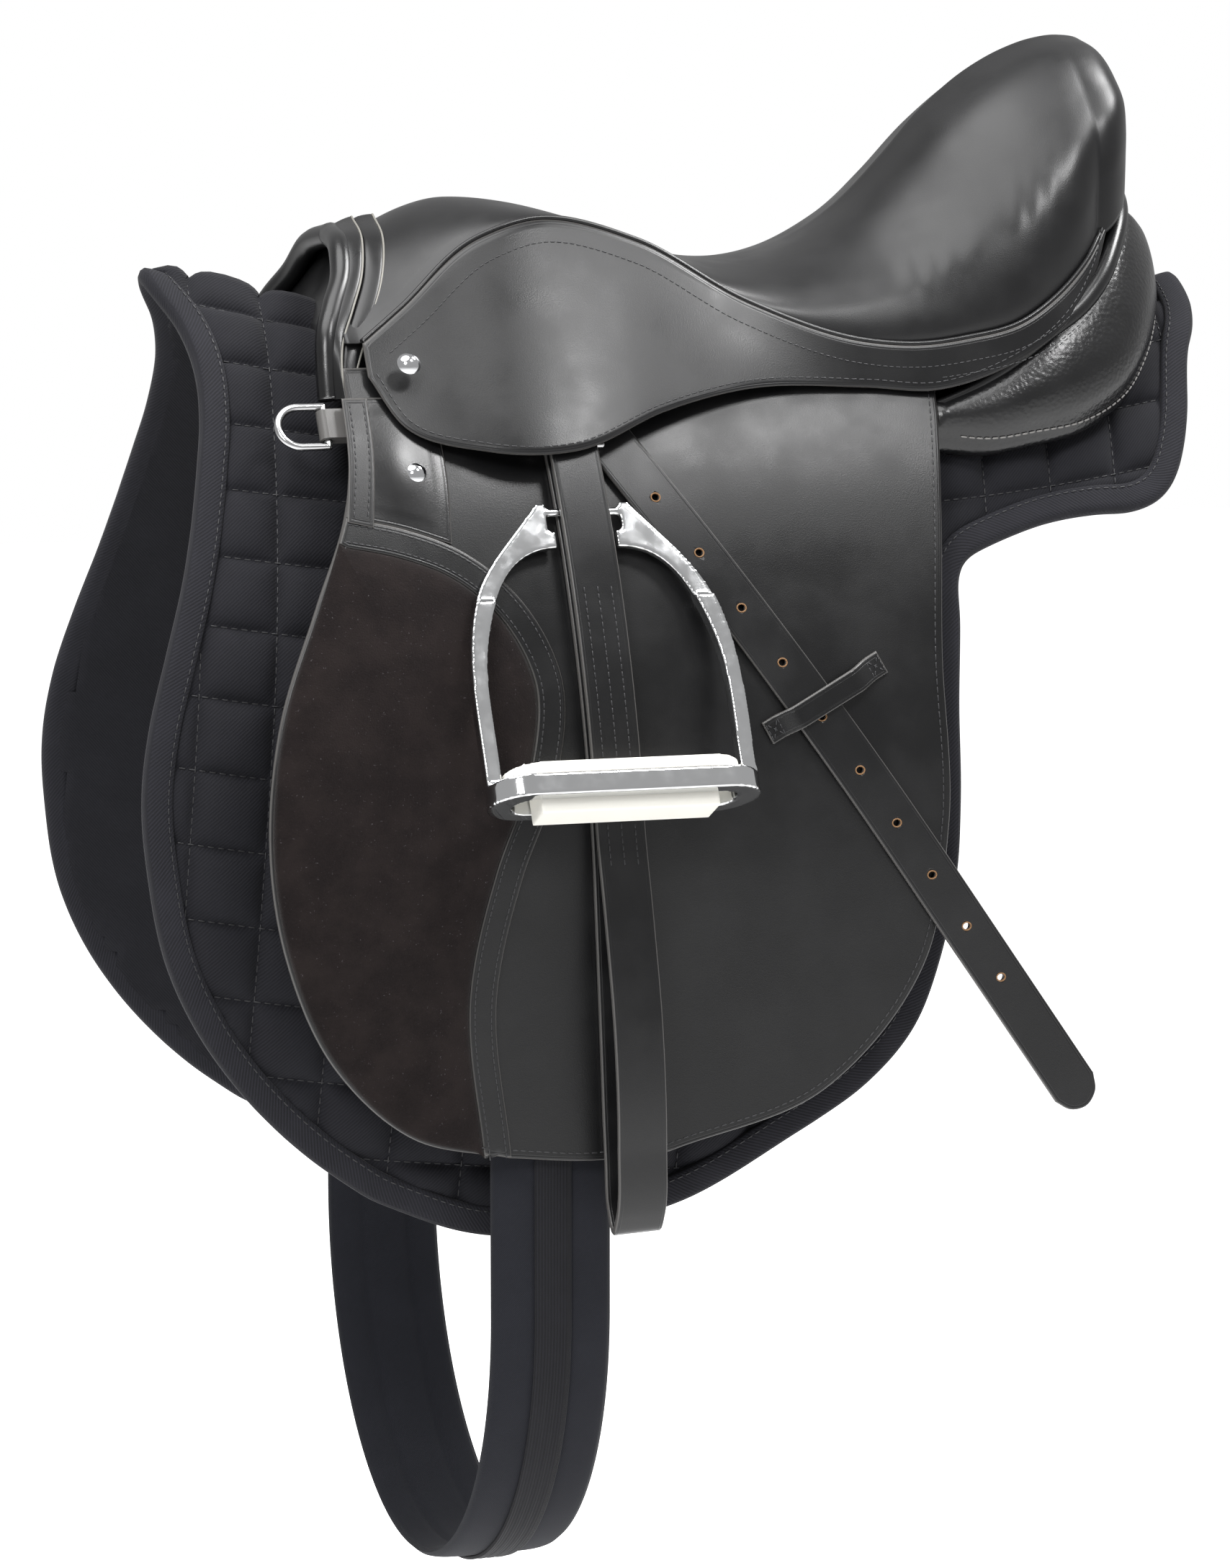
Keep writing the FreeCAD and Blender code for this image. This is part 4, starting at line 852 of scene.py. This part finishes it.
# %% cantle roll, from the skirt's rear edge round behind the seat
below_skirt = [(116, -97, -32), (145, -99, -18), (175, -97, 3), (193, -92, 15), (207, -84, 28),
               (221, -68, 45), (232, -50, 60)]
roll_half = smooth([(98, -95, -37)] + below_skirt + [(239, -26, 72), (242, 0, 77)], 140)
roll_path = np.r_[roll_half, (roll_half * [1, -1, 1])[-2::-1]]
away = roll_path - np.array([120.0, 0, 30.0])
from_end = np.minimum(np.arange(len(roll_path)), np.arange(len(roll_path))[::-1])
size = 5.2 * np.clip(from_end / 60.0, 0.1, 1) ** 0.5
section = round_section(1.0, 16)[None] * size[:, None, None]
points, quads = sweep(roll_path, away, section)
single("cantle_roll", points, quads, "facing_leather", "saddle", ["cantle_piping"])

# %% pommel: a thick roll and two lapped bands
line_c = [(-193, -88, -16), (-190, -84, -9), (-182, -75, 9), (-171, -58, 29), (-162, -30, 51), (-159, 0, 62)]
line_b = [(-198, -91, -25), (-199, -86, -11), (-197, -80, 0), (-189, -69, 16), (-180, -54, 32),
          (-174, -34, 49), (-170, 0, 60)]
line_a = [(-204, -82, -26), (-204, -78, -9), (-203, -74, 4), (-197, -64, 18), (-189, -50, 32),
          (-185, -33, 46), (-181, 0, 53)]


def arched(points, count=90):
    """A curve over the pommel: the near half and its mirror."""
    near = smooth(points, count)
    return np.r_[near, (near * [1, -1, 1])[-2::-1]]


curve_a, curve_b, curve_c = arched(line_a), arched(line_b), arched(line_c)
outward = curve_a * [0, 1, 1] - np.array([0, 0, -40.0])
outward /= np.linalg.norm(outward, axis=1)[:, None]
points, quads = sweep(curve_a, outward, round_section(6.0, 16))
single("pommel_roll", points, quads, "facing_leather", "saddle", ["head_facing"])


def lapped(name, front, rear, lift):
    """A band between two curves, raised, with its rear edge turned down."""
    share = np.array([0, 0.12, 0.3, 0.5, 0.7, 0.86, 0.95, 1.0, 1.0, 0.6])
    up = np.array([-1.0, 0.6, 1.1, 1.25, 1.2, 1.05, 0.8, 0.1, -2.0, -3.0]) + lift
    across = share[None, :, None]
    line = front[:, None] * (1 - across) + rear[:, None] * across + outward[:, None] * up[None, :, None]
    quads = grid_quads(len(front), len(share), wrap_cols=True)[:, ::-1]
    single(name, line.reshape(-1, 3), quads, "facing_leather", "saddle")


lapped("pommel_band_front", curve_a + outward * 2.5, curve_b, 1.2)
lapped("pommel_band_rear", curve_b, curve_c, 0.2)
# thin light grey tubes along each band's edge: a painted edge highlight
for name, line, lift in (("front", curve_b, 1.7), ("rear", curve_c, 0.8)):
    points, quads = sweep(line + outward * lift, outward, round_section(0.6, 8))
    single("pommel_edge_" + name, points, quads, painted_edge_highlight, "saddle")
print("seat, cantle roll and pommel made")

# %% [markdown]
# ## Panels
# The panels are flocked cushions under the tree, in pebbled calf. Behind the flap each swells out between the
# cantle roll and a bright sewn seam, and rounds off below the cantle.

# %% panels
AROUND = 72
panel_rows = [(-184, 74, -30, 31, 8, 34), (-150, 79, -32, 35, 10, 34), (-60, 78, -28, 38, 12, 40),
              (40, 76, -26, 46, 16, 50), (118, 74, -26, 44, 26, 58)]
front_x = np.r_[-184 + 14 * (1 - np.cos(np.linspace(0, math.pi / 2, 10)))[:-1], np.linspace(-170, 114, 110)]
cy, cz, along, across, tilt = (table(panel_rows, front_x, k)[:, None] for k in range(1, 6))
small = np.clip(np.sin(np.linspace(0, math.pi / 2, 10)), 0.02, 1)
small = np.r_[small[:-1], np.ones(110)][:, None]
turn, a = np.linspace(0, 2 * math.pi, AROUND, endpoint=False)[None], np.radians(tilt)
u, w = along * small * np.cos(turn), across * small * np.sin(turn)
fore = np.stack([np.broadcast_to(front_x[:, None], u.shape), -cy + u * np.sin(a) - w * np.cos(a),
                 cz + u * np.cos(a) + w * np.sin(a)], -1)

under_roll = smooth(below_skirt + [(236, -35, 72)], 110)
seam_line = smooth([(114, -103, -49), (138, -106, -51), (164, -105, -48), (190, -101, -44), (220, -88, -31),
                    (237, -72, -16), (248, -58, -2), (255, -45, 10), (257, -30, 29), (250, -24, 44)], 110)


def toward_spine(points):
    """Level unit vectors from each point to the spine, leaning forward behind the tree."""
    d = np.stack([np.minimum(points[:, 0], 185) - points[:, 0], -points[:, 1], np.zeros(len(points))], 1)
    return d / np.linalg.norm(d, axis=1)[:, None]


face_out = np.cross(frames(seam_line), under_roll - seam_line)
face_out *= np.sign((face_out * -toward_spine(seam_line)).sum(1))[:, None]
face_out /= np.linalg.norm(face_out, axis=1)[:, None]
share = np.linspace(0, 1, 110)[:, None]
inner_r, inner_q = toward_spine(under_roll), toward_spine(seam_line)
down = np.array([0, 0, -1.0])
hoops = np.stack([under_roll + inner_r * 26 - down * 2, under_roll,
                  (under_roll * 0.6 + seam_line * 0.4) + face_out * (6 + 5 * np.sin(math.pi * share)),
                  (under_roll * 0.25 + seam_line * 0.75) + face_out * (4 + 5 * np.sin(math.pi * share)),
                  seam_line,
                  seam_line + inner_q * 5 + down * (9 - 6 * share),
                  seam_line + inner_q * 22 + down * (10 - 7 * share),
                  seam_line + inner_q * 44 + down * (4 - 4 * share)], 1)


def closed_curve(control, count):
    """Closed Catmull-Rom curves through rows of control points, sampled at even lengths."""
    k = control.shape[1]
    t = np.arange(count * 4 + 1) / (count * 4) * k
    i, f = t.astype(int) % k, (t % 1)[None, :, None]
    p0, p1, p2, p3 = (control[:, (i + o) % k] for o in (-1, 0, 1, 2))
    fine = 0.5 * (2 * p1 + (p2 - p0) * f + (2 * p0 - 5 * p1 + 4 * p2 - p3) * f ** 2
                  + (3 * p1 - p0 - 3 * p2 + p3) * f ** 3)
    return np.array([resample(row, np.arange(count) / count) for row in fine])


rear = closed_curve(hoops, AROUND)
middle = rear.mean(1, keepdims=True)
closing = np.sqrt(1 - np.clip((share[:, None] - 0.92) / 0.08, 0, 0.9995) ** 2)
rear = middle + (rear - middle) * closing
join = np.clip((front_x - 70) / 44, 0, 1)[:, None, None]
join = join ** 2 * (3 - 2 * join)
first = np.broadcast_to(rear[0], fore.shape).copy()
first[..., 0] = fore[..., 0]
points = np.r_[(fore * (1 - join) + first * join)[:-1], rear]
layer = np.interp(points[..., 0], [92, 108, 124], [-9.2, -3, 60])
points[..., 1] = np.maximum(points[..., 1], side_y(points[..., 2], layer))
count = len(points)
ends = np.array([[k, k + 1, AROUND - 2 - k, AROUND - 1 - k] for k in range(AROUND // 2 - 1)])
quads = np.r_[grid_quads(count, AROUND, wrap_cols=True)[:, ::-1], ends, ends[:, ::-1] + (count - 1) * AROUND]
panels = both("panel", points, quads, "panel_leather", "saddle", ["panel"])
for panel in panels:
    welded(panel)
row = (seam_line + face_out * 0.5)[4:-12]
points, quads = stitches(row, face_out[4:-12], long=3.2, gap=0.9, wide=0.95, lift=0.3)
both("panel_stitches", points, quads, thread_pale, "saddle")
print("panels made; seam", round(float(np.linalg.norm(np.diff(seam_line, axis=0), axis=1).sum())), "mm")

# %% [markdown]
# ## Saddle pad
# Cotton twill over wadding, sewn down in squares, hanging over both sides and bound with twill tape. It is
# worked out flat, as x along the horse and s down from the spine, and its grid is fine beside each quilted
# seam and coarse on the squares, so the seams stay sharp.

# %% pad surface
pad_rows = [(-320, 127, 56, 0.34), (-180, 137, 18, 0.40), (-20, 147, -18, 0.55), (130, 147, -6, 0.55),
            (300, 147, 36, 0.50)]
PAD_LAYER, PAD_THICK, STEP = -18.0, 12.0, 2.0


def pad_sections():
    """Near half of the pad's outer surface at many x, from the spine down the side at even steps."""
    xs = np.linspace(-325, 305, 127)
    ys, zs = [], []
    for x in xs:
        half, spine, rounded = (float(table(pad_rows, x, k)) for k in (1, 2, 3))
        narrow = 147.0 - half
        bend, shoulder = (float(-side_y(v, PAD_LAYER)) - narrow for v in (-150.0, -60.0))
        top = -60.0 + 0.75 * (spine + 60.0)
        down = [(0, spine), (shoulder * rounded, top), (shoulder, -60.0), (bend, -150.0), (half, -260.0),
                (half, -480.0)]
        line = smooth(down, 700)
        line[:, 0] = np.minimum(line[:, 0], -side_y(line[:, 1], PAD_LAYER))
        run = np.r_[0, np.cumsum(np.linalg.norm(np.diff(line, axis=0), axis=1))]
        even = np.arange(0, 640, STEP)
        ys.append(np.interp(even, run, line[:, 0]))
        zs.append(np.interp(even, run, line[:, 1]))
    return xs, np.array(ys), np.array(zs)


pad_xs, pad_ys, pad_zs = pad_sections()


def pad_point(x, s):
    """Point (x, -y, z) of the pad's outer surface at x and at length s down from the spine."""
    i = np.clip((x - pad_xs[0]) / (pad_xs[1] - pad_xs[0]), 0, len(pad_xs) - 1.001)
    j = np.clip(s / STEP, 0, pad_ys.shape[1] - 1.001)
    i0, j0 = i.astype(int), j.astype(int)
    fi, fj = i - i0, j - j0
    read = lambda t: ((1 - fi) * (1 - fj) * t[i0, j0] + fi * (1 - fj) * t[i0 + 1, j0]
                      + (1 - fi) * fj * t[i0, j0 + 1] + fi * fj * t[i0 + 1, j0 + 1])
    return np.stack([x, -read(pad_ys), read(pad_zs)], -1)


def pad_normal(x, s):
    a, b = pad_point(x + 3, s) - pad_point(x - 3, s), pad_point(x, s + 3) - pad_point(x, np.maximum(s - 3, 0))
    n = np.cross(b, a)
    n *= -np.sign(n[..., 1:2] + 1e-9)
    return n / np.maximum(np.linalg.norm(n, axis=-1, keepdims=True), 1e-9)


def down_from_spine(flat):
    """(x, z) outline points as (x, s)."""
    out = []
    for x, z in flat:
        i = int(np.clip(round((x - pad_xs[0]) / (pad_xs[1] - pad_xs[0])), 0, len(pad_xs) - 1))
        out.append((x, float(np.interp(-z, -pad_zs[i], np.arange(pad_zs.shape[1]) * STEP))))
    return np.array(out)


pad_front = down_from_spine(smooth([(-286, 46), (-277, 33), (-265, 12), (-261, -8), (-262, -30), (-268, -60),
                                    (-280, -108), (-293, -148), (-303, -182), (-308, -215), (-306, -255),
                                    (-299, -295), (-284, -330), (-262, -362), (-232, -393),
                                    (-199, -418)], 260))
pad_low = down_from_spine(smooth([(-199, -418), (-150, -437), (-45, -428), (29, -391)], 120))
pad_rear = down_from_spine(np.r_[smooth([(285, 32), (279, 16), (266, -12), (258, -41), (251, -59), (244, -72),
                                         (236, -80), (222, -86), (200, -87), (170, -91), (140, -100),
                                         (122, -107)], 200),
                                 smooth([(122, -107), (116, -115), (113, -140), (109, -180), (108, -230),
                                         (105, -270), (97, -310), (82, -347), (56, -374),
                                         (29, -391)], 160)[1:]])


def square_to_spine(edge, reach=28.0):
    """An edge that leaves the spine squarely: within `reach` of it, x = x0 + (x1 - x0)(s / reach)^2."""
    edge = edge[edge[:, 1] > 1.0]
    x1 = np.interp(reach, edge[:, 1], edge[:, 0])
    x0 = x1 + 0.6 * (edge[0, 0] - x1)
    near = np.linspace(0, reach, 24)[:-1]
    bow = np.stack([x0 + (x1 - x0) * (near / reach) ** 2, near], 1)
    return np.r_[bow, edge[edge[:, 1] > reach]]


pad_front, pad_rear = square_to_spine(pad_front), square_to_spine(pad_rear)
outline = np.r_[pad_front, pad_low[1:], pad_rear[::-1][1:]]
QUILT, SHEAR = 37.0, 0.10


def inside_outline(flat):
    """Whether points lie inside the outline closed along the spine: edges crossed on the way to the right."""
    a, b = outline, np.roll(outline, -1, 0)
    x, s = flat[:, None, 0], flat[:, None, 1]
    crossing = (a[None, :, 1] > s) != (b[None, :, 1] > s)
    rise = np.where(b[:, 1] == a[:, 1], 1e-9, b[:, 1] - a[:, 1])
    at = a[None, :, 0] + (s - a[None, :, 1]) * ((b - a)[:, 0] / rise)[None]
    return (crossing & (at > x)).sum(1) % 2 == 1


# close steps beside each seam, wide ones on the squares
steps = np.array([0, 1.3, 3.2, 6.2, 11.0, 18.5, 26.0, 30.8, 33.8, 35.7])
cols = (np.arange(-1, 19)[:, None] * QUILT - 292 + steps).ravel()
rows = (np.arange(0, 15)[:, None] * QUILT - 14 + steps).ravel()
rows = np.r_[0.0, rows[rows > 1.0]]
cut = np.stack(np.meshgrid(cols, rows, indexing="ij"), -1)
cut[..., 0] -= SHEAR * cut[..., 1]
cut = cut.transpose(1, 0, 2)
rim_d = edge_distance(cut, outline)
kept = inside_outline(cut.reshape(-1, 2) + [0, 0.01]).reshape(rim_d.shape) & (rim_d > 3.0)
qx, qs = (cut[..., 0] + 292 + SHEAR * cut[..., 1]) / QUILT, (cut[..., 1] + 14) / QUILT
seam_x = np.abs((qx + 0.5) % 1 - 0.5) * QUILT
seam_s = np.abs((qs + 0.5) % 1 - 0.5) * QUILT
puff = (1 - np.exp(-seam_x / 4.6)) * (1 - np.exp(-seam_s / 4.6))
ripple = (np.sin(cut[..., 0] / 3.6 + 3 * np.sin(cut[..., 1] / 17)) * np.exp(-seam_s / 6.0) * 0.45
          + np.sin(cut[..., 1] / 3.8 + 3 * np.sin(cut[..., 0] / 19)) * np.exp(-seam_x / 6.0) * 0.45)
from_rim = 1 - np.exp(-np.maximum(rim_d - 9, 0) / 5.0)
rise = -6.0 + (6.8 * puff + ripple * (puff > 0.05)) * from_rim - 0.6 * np.exp(-rim_d / 10)
normal = pad_normal(cut[..., 0], cut[..., 1])
normal[0] = (0, 0, 1)
outer_face = pad_point(cut[..., 0], cut[..., 1]) + normal * rise[..., None]
deep = PAD_THICK - 1.5 - 1.0 * np.exp(-rim_d / 8)
inner_face = pad_point(cut[..., 0], cut[..., 1]) - normal * deep[..., None]
outer_face[..., 1] = np.minimum(outer_face[..., 1], -0.45 * np.minimum(cut[..., 1], 12.0))
inner_face[..., 1] = np.minimum(inner_face[..., 1], -0.25 * np.minimum(cut[..., 1], 12.0))


def two_sided(near):
    """Rows from the spine down one side, joined to their mirror: off bottom ... spine ... near bottom."""
    return np.concatenate([(near * [1, -1, 1])[:0:-1], near], 0)


face, back = two_sided(outer_face), two_sided(inner_face)
held = np.concatenate([kept[:0:-1], kept], 0)
rows_n, cols_n = held.shape
quads = grid_quads(rows_n, cols_n)
quads = quads[held.ravel()[quads].all(1)]
edges = np.stack([quads, np.roll(quads, -1, 1)], -1).reshape(-1, 2)
_, where, times = np.unique(np.sort(edges, 1), axis=0, return_index=True, return_counts=True)
open_edges = edges[where[times == 1]]
rim_quads = np.stack([open_edges[:, 0], open_edges[:, 1], open_edges[:, 1] + held.size,
                      open_edges[:, 0] + held.size], 1)
flat_map = np.concatenate([(cut * [1, -1])[:0:-1], cut], 0).reshape(-1, 2)
every = np.r_[quads[:, ::-1], quads + held.size, rim_quads]
used = np.unique(every)
renumber = np.zeros(held.size * 2, int)
renumber[used] = np.arange(len(used))
pad = build("saddle_pad_cloth", np.r_[face.reshape(-1, 3), back.reshape(-1, 3)][used], renumber[every],
            finishes["quilted_cotton"], uv=np.r_[flat_map, flat_map][used])
place(pad, "saddle", ["saddle_pad"], "quilted_cotton")
print("pad squares of", QUILT, "mm; quads", len(pad.data.polygons))

# %% quilting stitches along both sets of seams
seam = []
for k in range(0, 18):
    s_run = np.arange(0, 520, 2.0)
    seam.append(np.stack([QUILT * k - 292 - SHEAR * s_run, s_run], 1))
for k in range(1, 15):
    x_run = np.arange(-320, 300, 2.0)
    seam.append(np.stack([x_run, np.full(len(x_run), QUILT * k - 14)], 1))
parts = []
for line in seam:
    good = inside_outline(line + [0, 0.01]) & (edge_distance(line, outline) > 13.0)
    for run in np.split(line[good], np.flatnonzero(np.diff(np.flatnonzero(good)) > 1) + 1):
        if len(run) > 4:
            lie = pad_normal(run[:, 0], run[:, 1])
            parts.append(stitches(pad_point(run[:, 0], run[:, 1]) - lie * 5.8, lie, long=3.4, gap=1.6,
                                  wide=0.7, lift=0.25))
points, quads = gather(parts)
both("pad_quilting", points, quads, thread, "saddle")
print("quilting stitches per side:", len(points) // 24)

# %% pad binding
near_edge = resample(outline, np.linspace(0, 1, 620))
near_edge = near_edge[near_edge[:, 1] > 1.0]
edge_n = pad_normal(near_edge[:, 0], near_edge[:, 1])
edge_xyz = pad_point(near_edge[:, 0], near_edge[:, 1]) - edge_n * 5.6
clear = edge_xyz[:, 1] < -1.5
edge_xyz, edge_n = edge_xyz[clear], edge_n[clear]
loop_xyz, loop_n = edge_xyz[:1] * [1, 0, 1], np.array([[0, 0, 1.0]])
loop_xyz = np.r_[loop_xyz, edge_xyz, edge_xyz[-1:] * [1, 0, 1], (edge_xyz * [1, -1, 1])[::-1]]
loop_n = np.r_[loop_n, edge_n, loop_n, (edge_n * [1, -1, 1])[::-1]]
for smoothing in range(60):
    loop_n = (np.roll(loop_n, 1, 0) + 2 * loop_n + np.roll(loop_n, -1, 0)) / 4
for smoothing in range(12):
    loop_xyz = (np.roll(loop_xyz, 1, 0) + 2 * loop_xyz + np.roll(loop_xyz, -1, 0)) / 4
loop_n /= np.linalg.norm(loop_n, axis=1)[:, None]
tape = np.array([(0, 4.6), (3, 4.7), (7, 4.5), (11, 4.0), (12.6, 3.4), (12.8, 2.2), (12.8, -2.2),
                 (12.4, -3.6), (7, -4.4), (3, -4.4), (0, -4.2), (-1.6, -2.6), (-2.2, 0), (-1.6, 3.0)])
points, quads = sweep(loop_xyz, loop_n, tape, closed=True)
run = np.r_[0, np.cumsum(np.linalg.norm(np.diff(loop_xyz, axis=0), axis=1))]
around = np.r_[0, np.cumsum(np.linalg.norm(np.diff(tape, axis=0), axis=1))]
flat_map = np.stack(np.meshgrid(run, around, indexing="ij"), -1).reshape(-1, 2)
single("pad_tape", points, quads, "twill_binding", "saddle", ["pad_binding"], uv=flat_map)
t = frames(loop_xyz, True)
inward = np.cross(loop_n, t)
row = loop_xyz + inward * 10.6 + loop_n * 4.2
row, row_n = np.r_[row, row[:1]], np.r_[loop_n, loop_n[:1]]
points, quads = stitches(row, row_n, long=3.0, gap=1.6, wide=0.7)
single("pad_tape_stitches", points, quads, thread, "saddle")

# %% [markdown]
# ## Girth
# A padded girth hangs from the billets in a loop: soft cover over foam, two seams on its inner face, ribbed
# webbing down the middle of the outer one.

# %% girth
GIRTH_X, GIRTH_OUT, GIRTH_HALF = -114.0, -10.4, 31.0
half = WIDTH + GIRTH_OUT + 3.4
bend_turn = np.linspace(math.pi, 2 * math.pi, 120)
u_path = np.r_[np.stack([np.zeros(40), np.full(40, -half), np.linspace(-372, -478, 40)], 1)[:-1],
               np.stack([np.zeros(120), half * np.cos(bend_turn), -478 + half * np.sin(bend_turn)], 1),
               np.stack([np.zeros(40), np.full(40, half), np.linspace(-478, -372, 40)], 1)[1:]]
u_path[:, 0] = GIRTH_X
u_tangent = frames(u_path)
u_out = np.cross(u_tangent, np.array([1.0, 0, 0]))
a = np.linspace(-1, 1, 25)
pillow = lambda v: 3.7 * (1 - np.abs(v) ** 6) ** 0.5
seam_dip = lambda v: 1.3 * np.exp(-((np.abs(v) - 0.42) / 0.055) ** 2)
top_side = np.stack([GIRTH_HALF * a, pillow(a) - 0.6], 1)
low_side = np.stack([GIRTH_HALF * a[::-1], -pillow(a[::-1]) + seam_dip(a[::-1])], 1)
section = np.r_[top_side[:-1], low_side[:-1]]
points, quads = sweep(u_path, u_out, section)
run = np.r_[0, np.cumsum(np.linalg.norm(np.diff(u_path, axis=0), axis=1))]
around = np.r_[0, np.cumsum(np.linalg.norm(np.diff(section, axis=0), axis=1))]
flat_map = np.stack(np.meshgrid(run, around, indexing="ij"), -1).reshape(-1, 2)
girth = single("girth_cover", points, quads, "girth_felt", "girth_body", ["girth"], uv=flat_map)

section = strap_section(19.0, 1.8, 0.7, 12)
ribs = np.sin(section[:, 0] * 2 * math.pi / 2.4) * 0.22 * (section[:, 1] > 0.5)
section = np.stack([section[:, 0], section[:, 1] + ribs + 4.2], 1)
points, quads = sweep(u_path, u_out, section)
around = np.r_[0, np.cumsum(np.linalg.norm(np.diff(section, axis=0), axis=1))]
flat_map = np.stack(np.meshgrid(run, around, indexing="ij"), -1).reshape(-1, 2)
single("girth_ribbed_web", points, quads, "girth_web", "girth_body", ["girth_webbing"], uv=flat_map)
print("girth made")


# %% [markdown]
# ## Stirrup irons
# Cast steel, ground and polished before chroming, so no edge is sharp. The rubber tread is moulded.

# %% irons and treads: cast edges, softened
def softened(node, voxel, rounds, new_name, finish):
    """A cast piece with its edges rubbed round: remeshed finely, then smoothed a few times."""
    src = frame["nodes"][node]
    mesh = src.data.copy()
    obj = bpy.data.objects.new(new_name, mesh)
    obj.matrix_world = src.matrix_world.copy()
    bpy.context.scene.collection.objects.link(obj)
    remesh = obj.modifiers.new("fine", "REMESH")
    remesh.mode, remesh.voxel_size = "VOXEL", voxel * MM
    rub = obj.modifiers.new("rub", "SMOOTH")
    rub.factor, rub.iterations = 0.5, rounds
    bpy.context.view_layer.update()
    made = bpy.data.meshes.new_from_object(obj.evaluated_get(bpy.context.evaluated_depsgraph_get()))
    made.transform(obj.matrix_world)
    made.materials.clear()
    made.materials.append(finish)
    made.shade_smooth()
    bpy.data.objects.remove(obj)
    done = bpy.data.objects.new(new_name, made)
    bpy.context.scene.collection.objects.link(done)
    return done


for side in ("near", "off"):
    iron = softened(side + "_stirrup_iron", 0.9, 5, side + "_iron", finishes["iron_chrome"])
    place(iron, side + "_stirrup_body", [side + "_stirrup_iron"], "iron_chrome")
    tread = softened(side + "_stirrup_tread", 0.8, 1, side + "_tread", finishes["tread_rubber"])
    place(tread, side + "_stirrup_body", [side + "_stirrup_tread"], "tread_rubber")

# %% [markdown]
# ## Stage
# A plain pale floor under the girth, a bright surround and wide soft lamps, as in a product studio.

# %% floor, light and camera
def lamp(name, at, aim, size, power):
    light = bpy.data.lights.new(name, "AREA")
    light.shape, light.size, light.energy = "DISK", size, power
    obj = bpy.data.objects.new(name, light)
    obj.location = at
    obj.rotation_euler = (Vector(aim) - Vector(at)).to_track_quat("-Z", "Y").to_euler()
    bpy.context.scene.collection.objects.link(obj)
    return obj


pale, tree, shader = material("painted floor, pale", "f2f2f2", 0.9, Emission_Color=(1, 1, 1, 1))
direct = add(tree, "LightPath").outputs["Is Camera Ray"]
tree.links.new(ranged(tree, direct, 0.0, 1.0, 0.3, 0.8), shader.inputs["Emission Strength"])
FLOOR_Z, FLOOR_HALF = -950, 9000
floor_corners = [(a * FLOOR_HALF, b * FLOOR_HALF, FLOOR_Z) for a, b in ((-1, -1), (1, -1), (1, 1), (-1, 1))]
floor = build("floor", floor_corners, [[0, 1, 2, 3]], pale)
world = bpy.data.worlds.new("studio")
bpy.context.scene.world = world
world.use_nodes = True
backdrop = world.node_tree.nodes["Background"]
backdrop.inputs["Color"].default_value = (1, 1, 1, 1)
seen = add(world.node_tree, "LightPath").outputs["Is Camera Ray"]
world.node_tree.links.new(ranged(world.node_tree, seen, 0.0, 1.0, 0.45, 1.0), backdrop.inputs["Strength"])
lamp("key", (-1.6, -2.1, 1.5), (0, 0, -0.15), 0.9, 48)
lamp("rim", (1.5, 0.0, 2.1), (0.1, 0, 0), 0.9, 55)
lamp("top", (-0.8, -0.2, 2.1), (0, 0, 0), 2.2, 62)
lamp("front", (0.58, -1.15, 1.6), (0, -0.1, 0), 0.5, 20)

az, el, reach = math.radians(-18.0), math.radians(8.0), 2.7
back = Vector((math.sin(az) * math.cos(el), -math.cos(az) * math.cos(el), math.sin(el)))
camera = bpy.data.cameras.new("camera")
camera.lens, camera.sensor_width, camera.clip_start, camera.clip_end = 118.0, 36.0, 0.05, 50.0
eye = bpy.data.objects.new("camera", camera)
eye.location = Vector((-0.029, 0.0, -0.236)) + back * reach
eye.rotation_mode = "QUATERNION"
eye.rotation_quaternion = (-back).to_track_quat("-Z", "Y")
bpy.context.scene.collection.objects.link(eye)
bpy.context.scene.camera = eye
bpy.context.scene.view_settings.view_transform = "Standard"
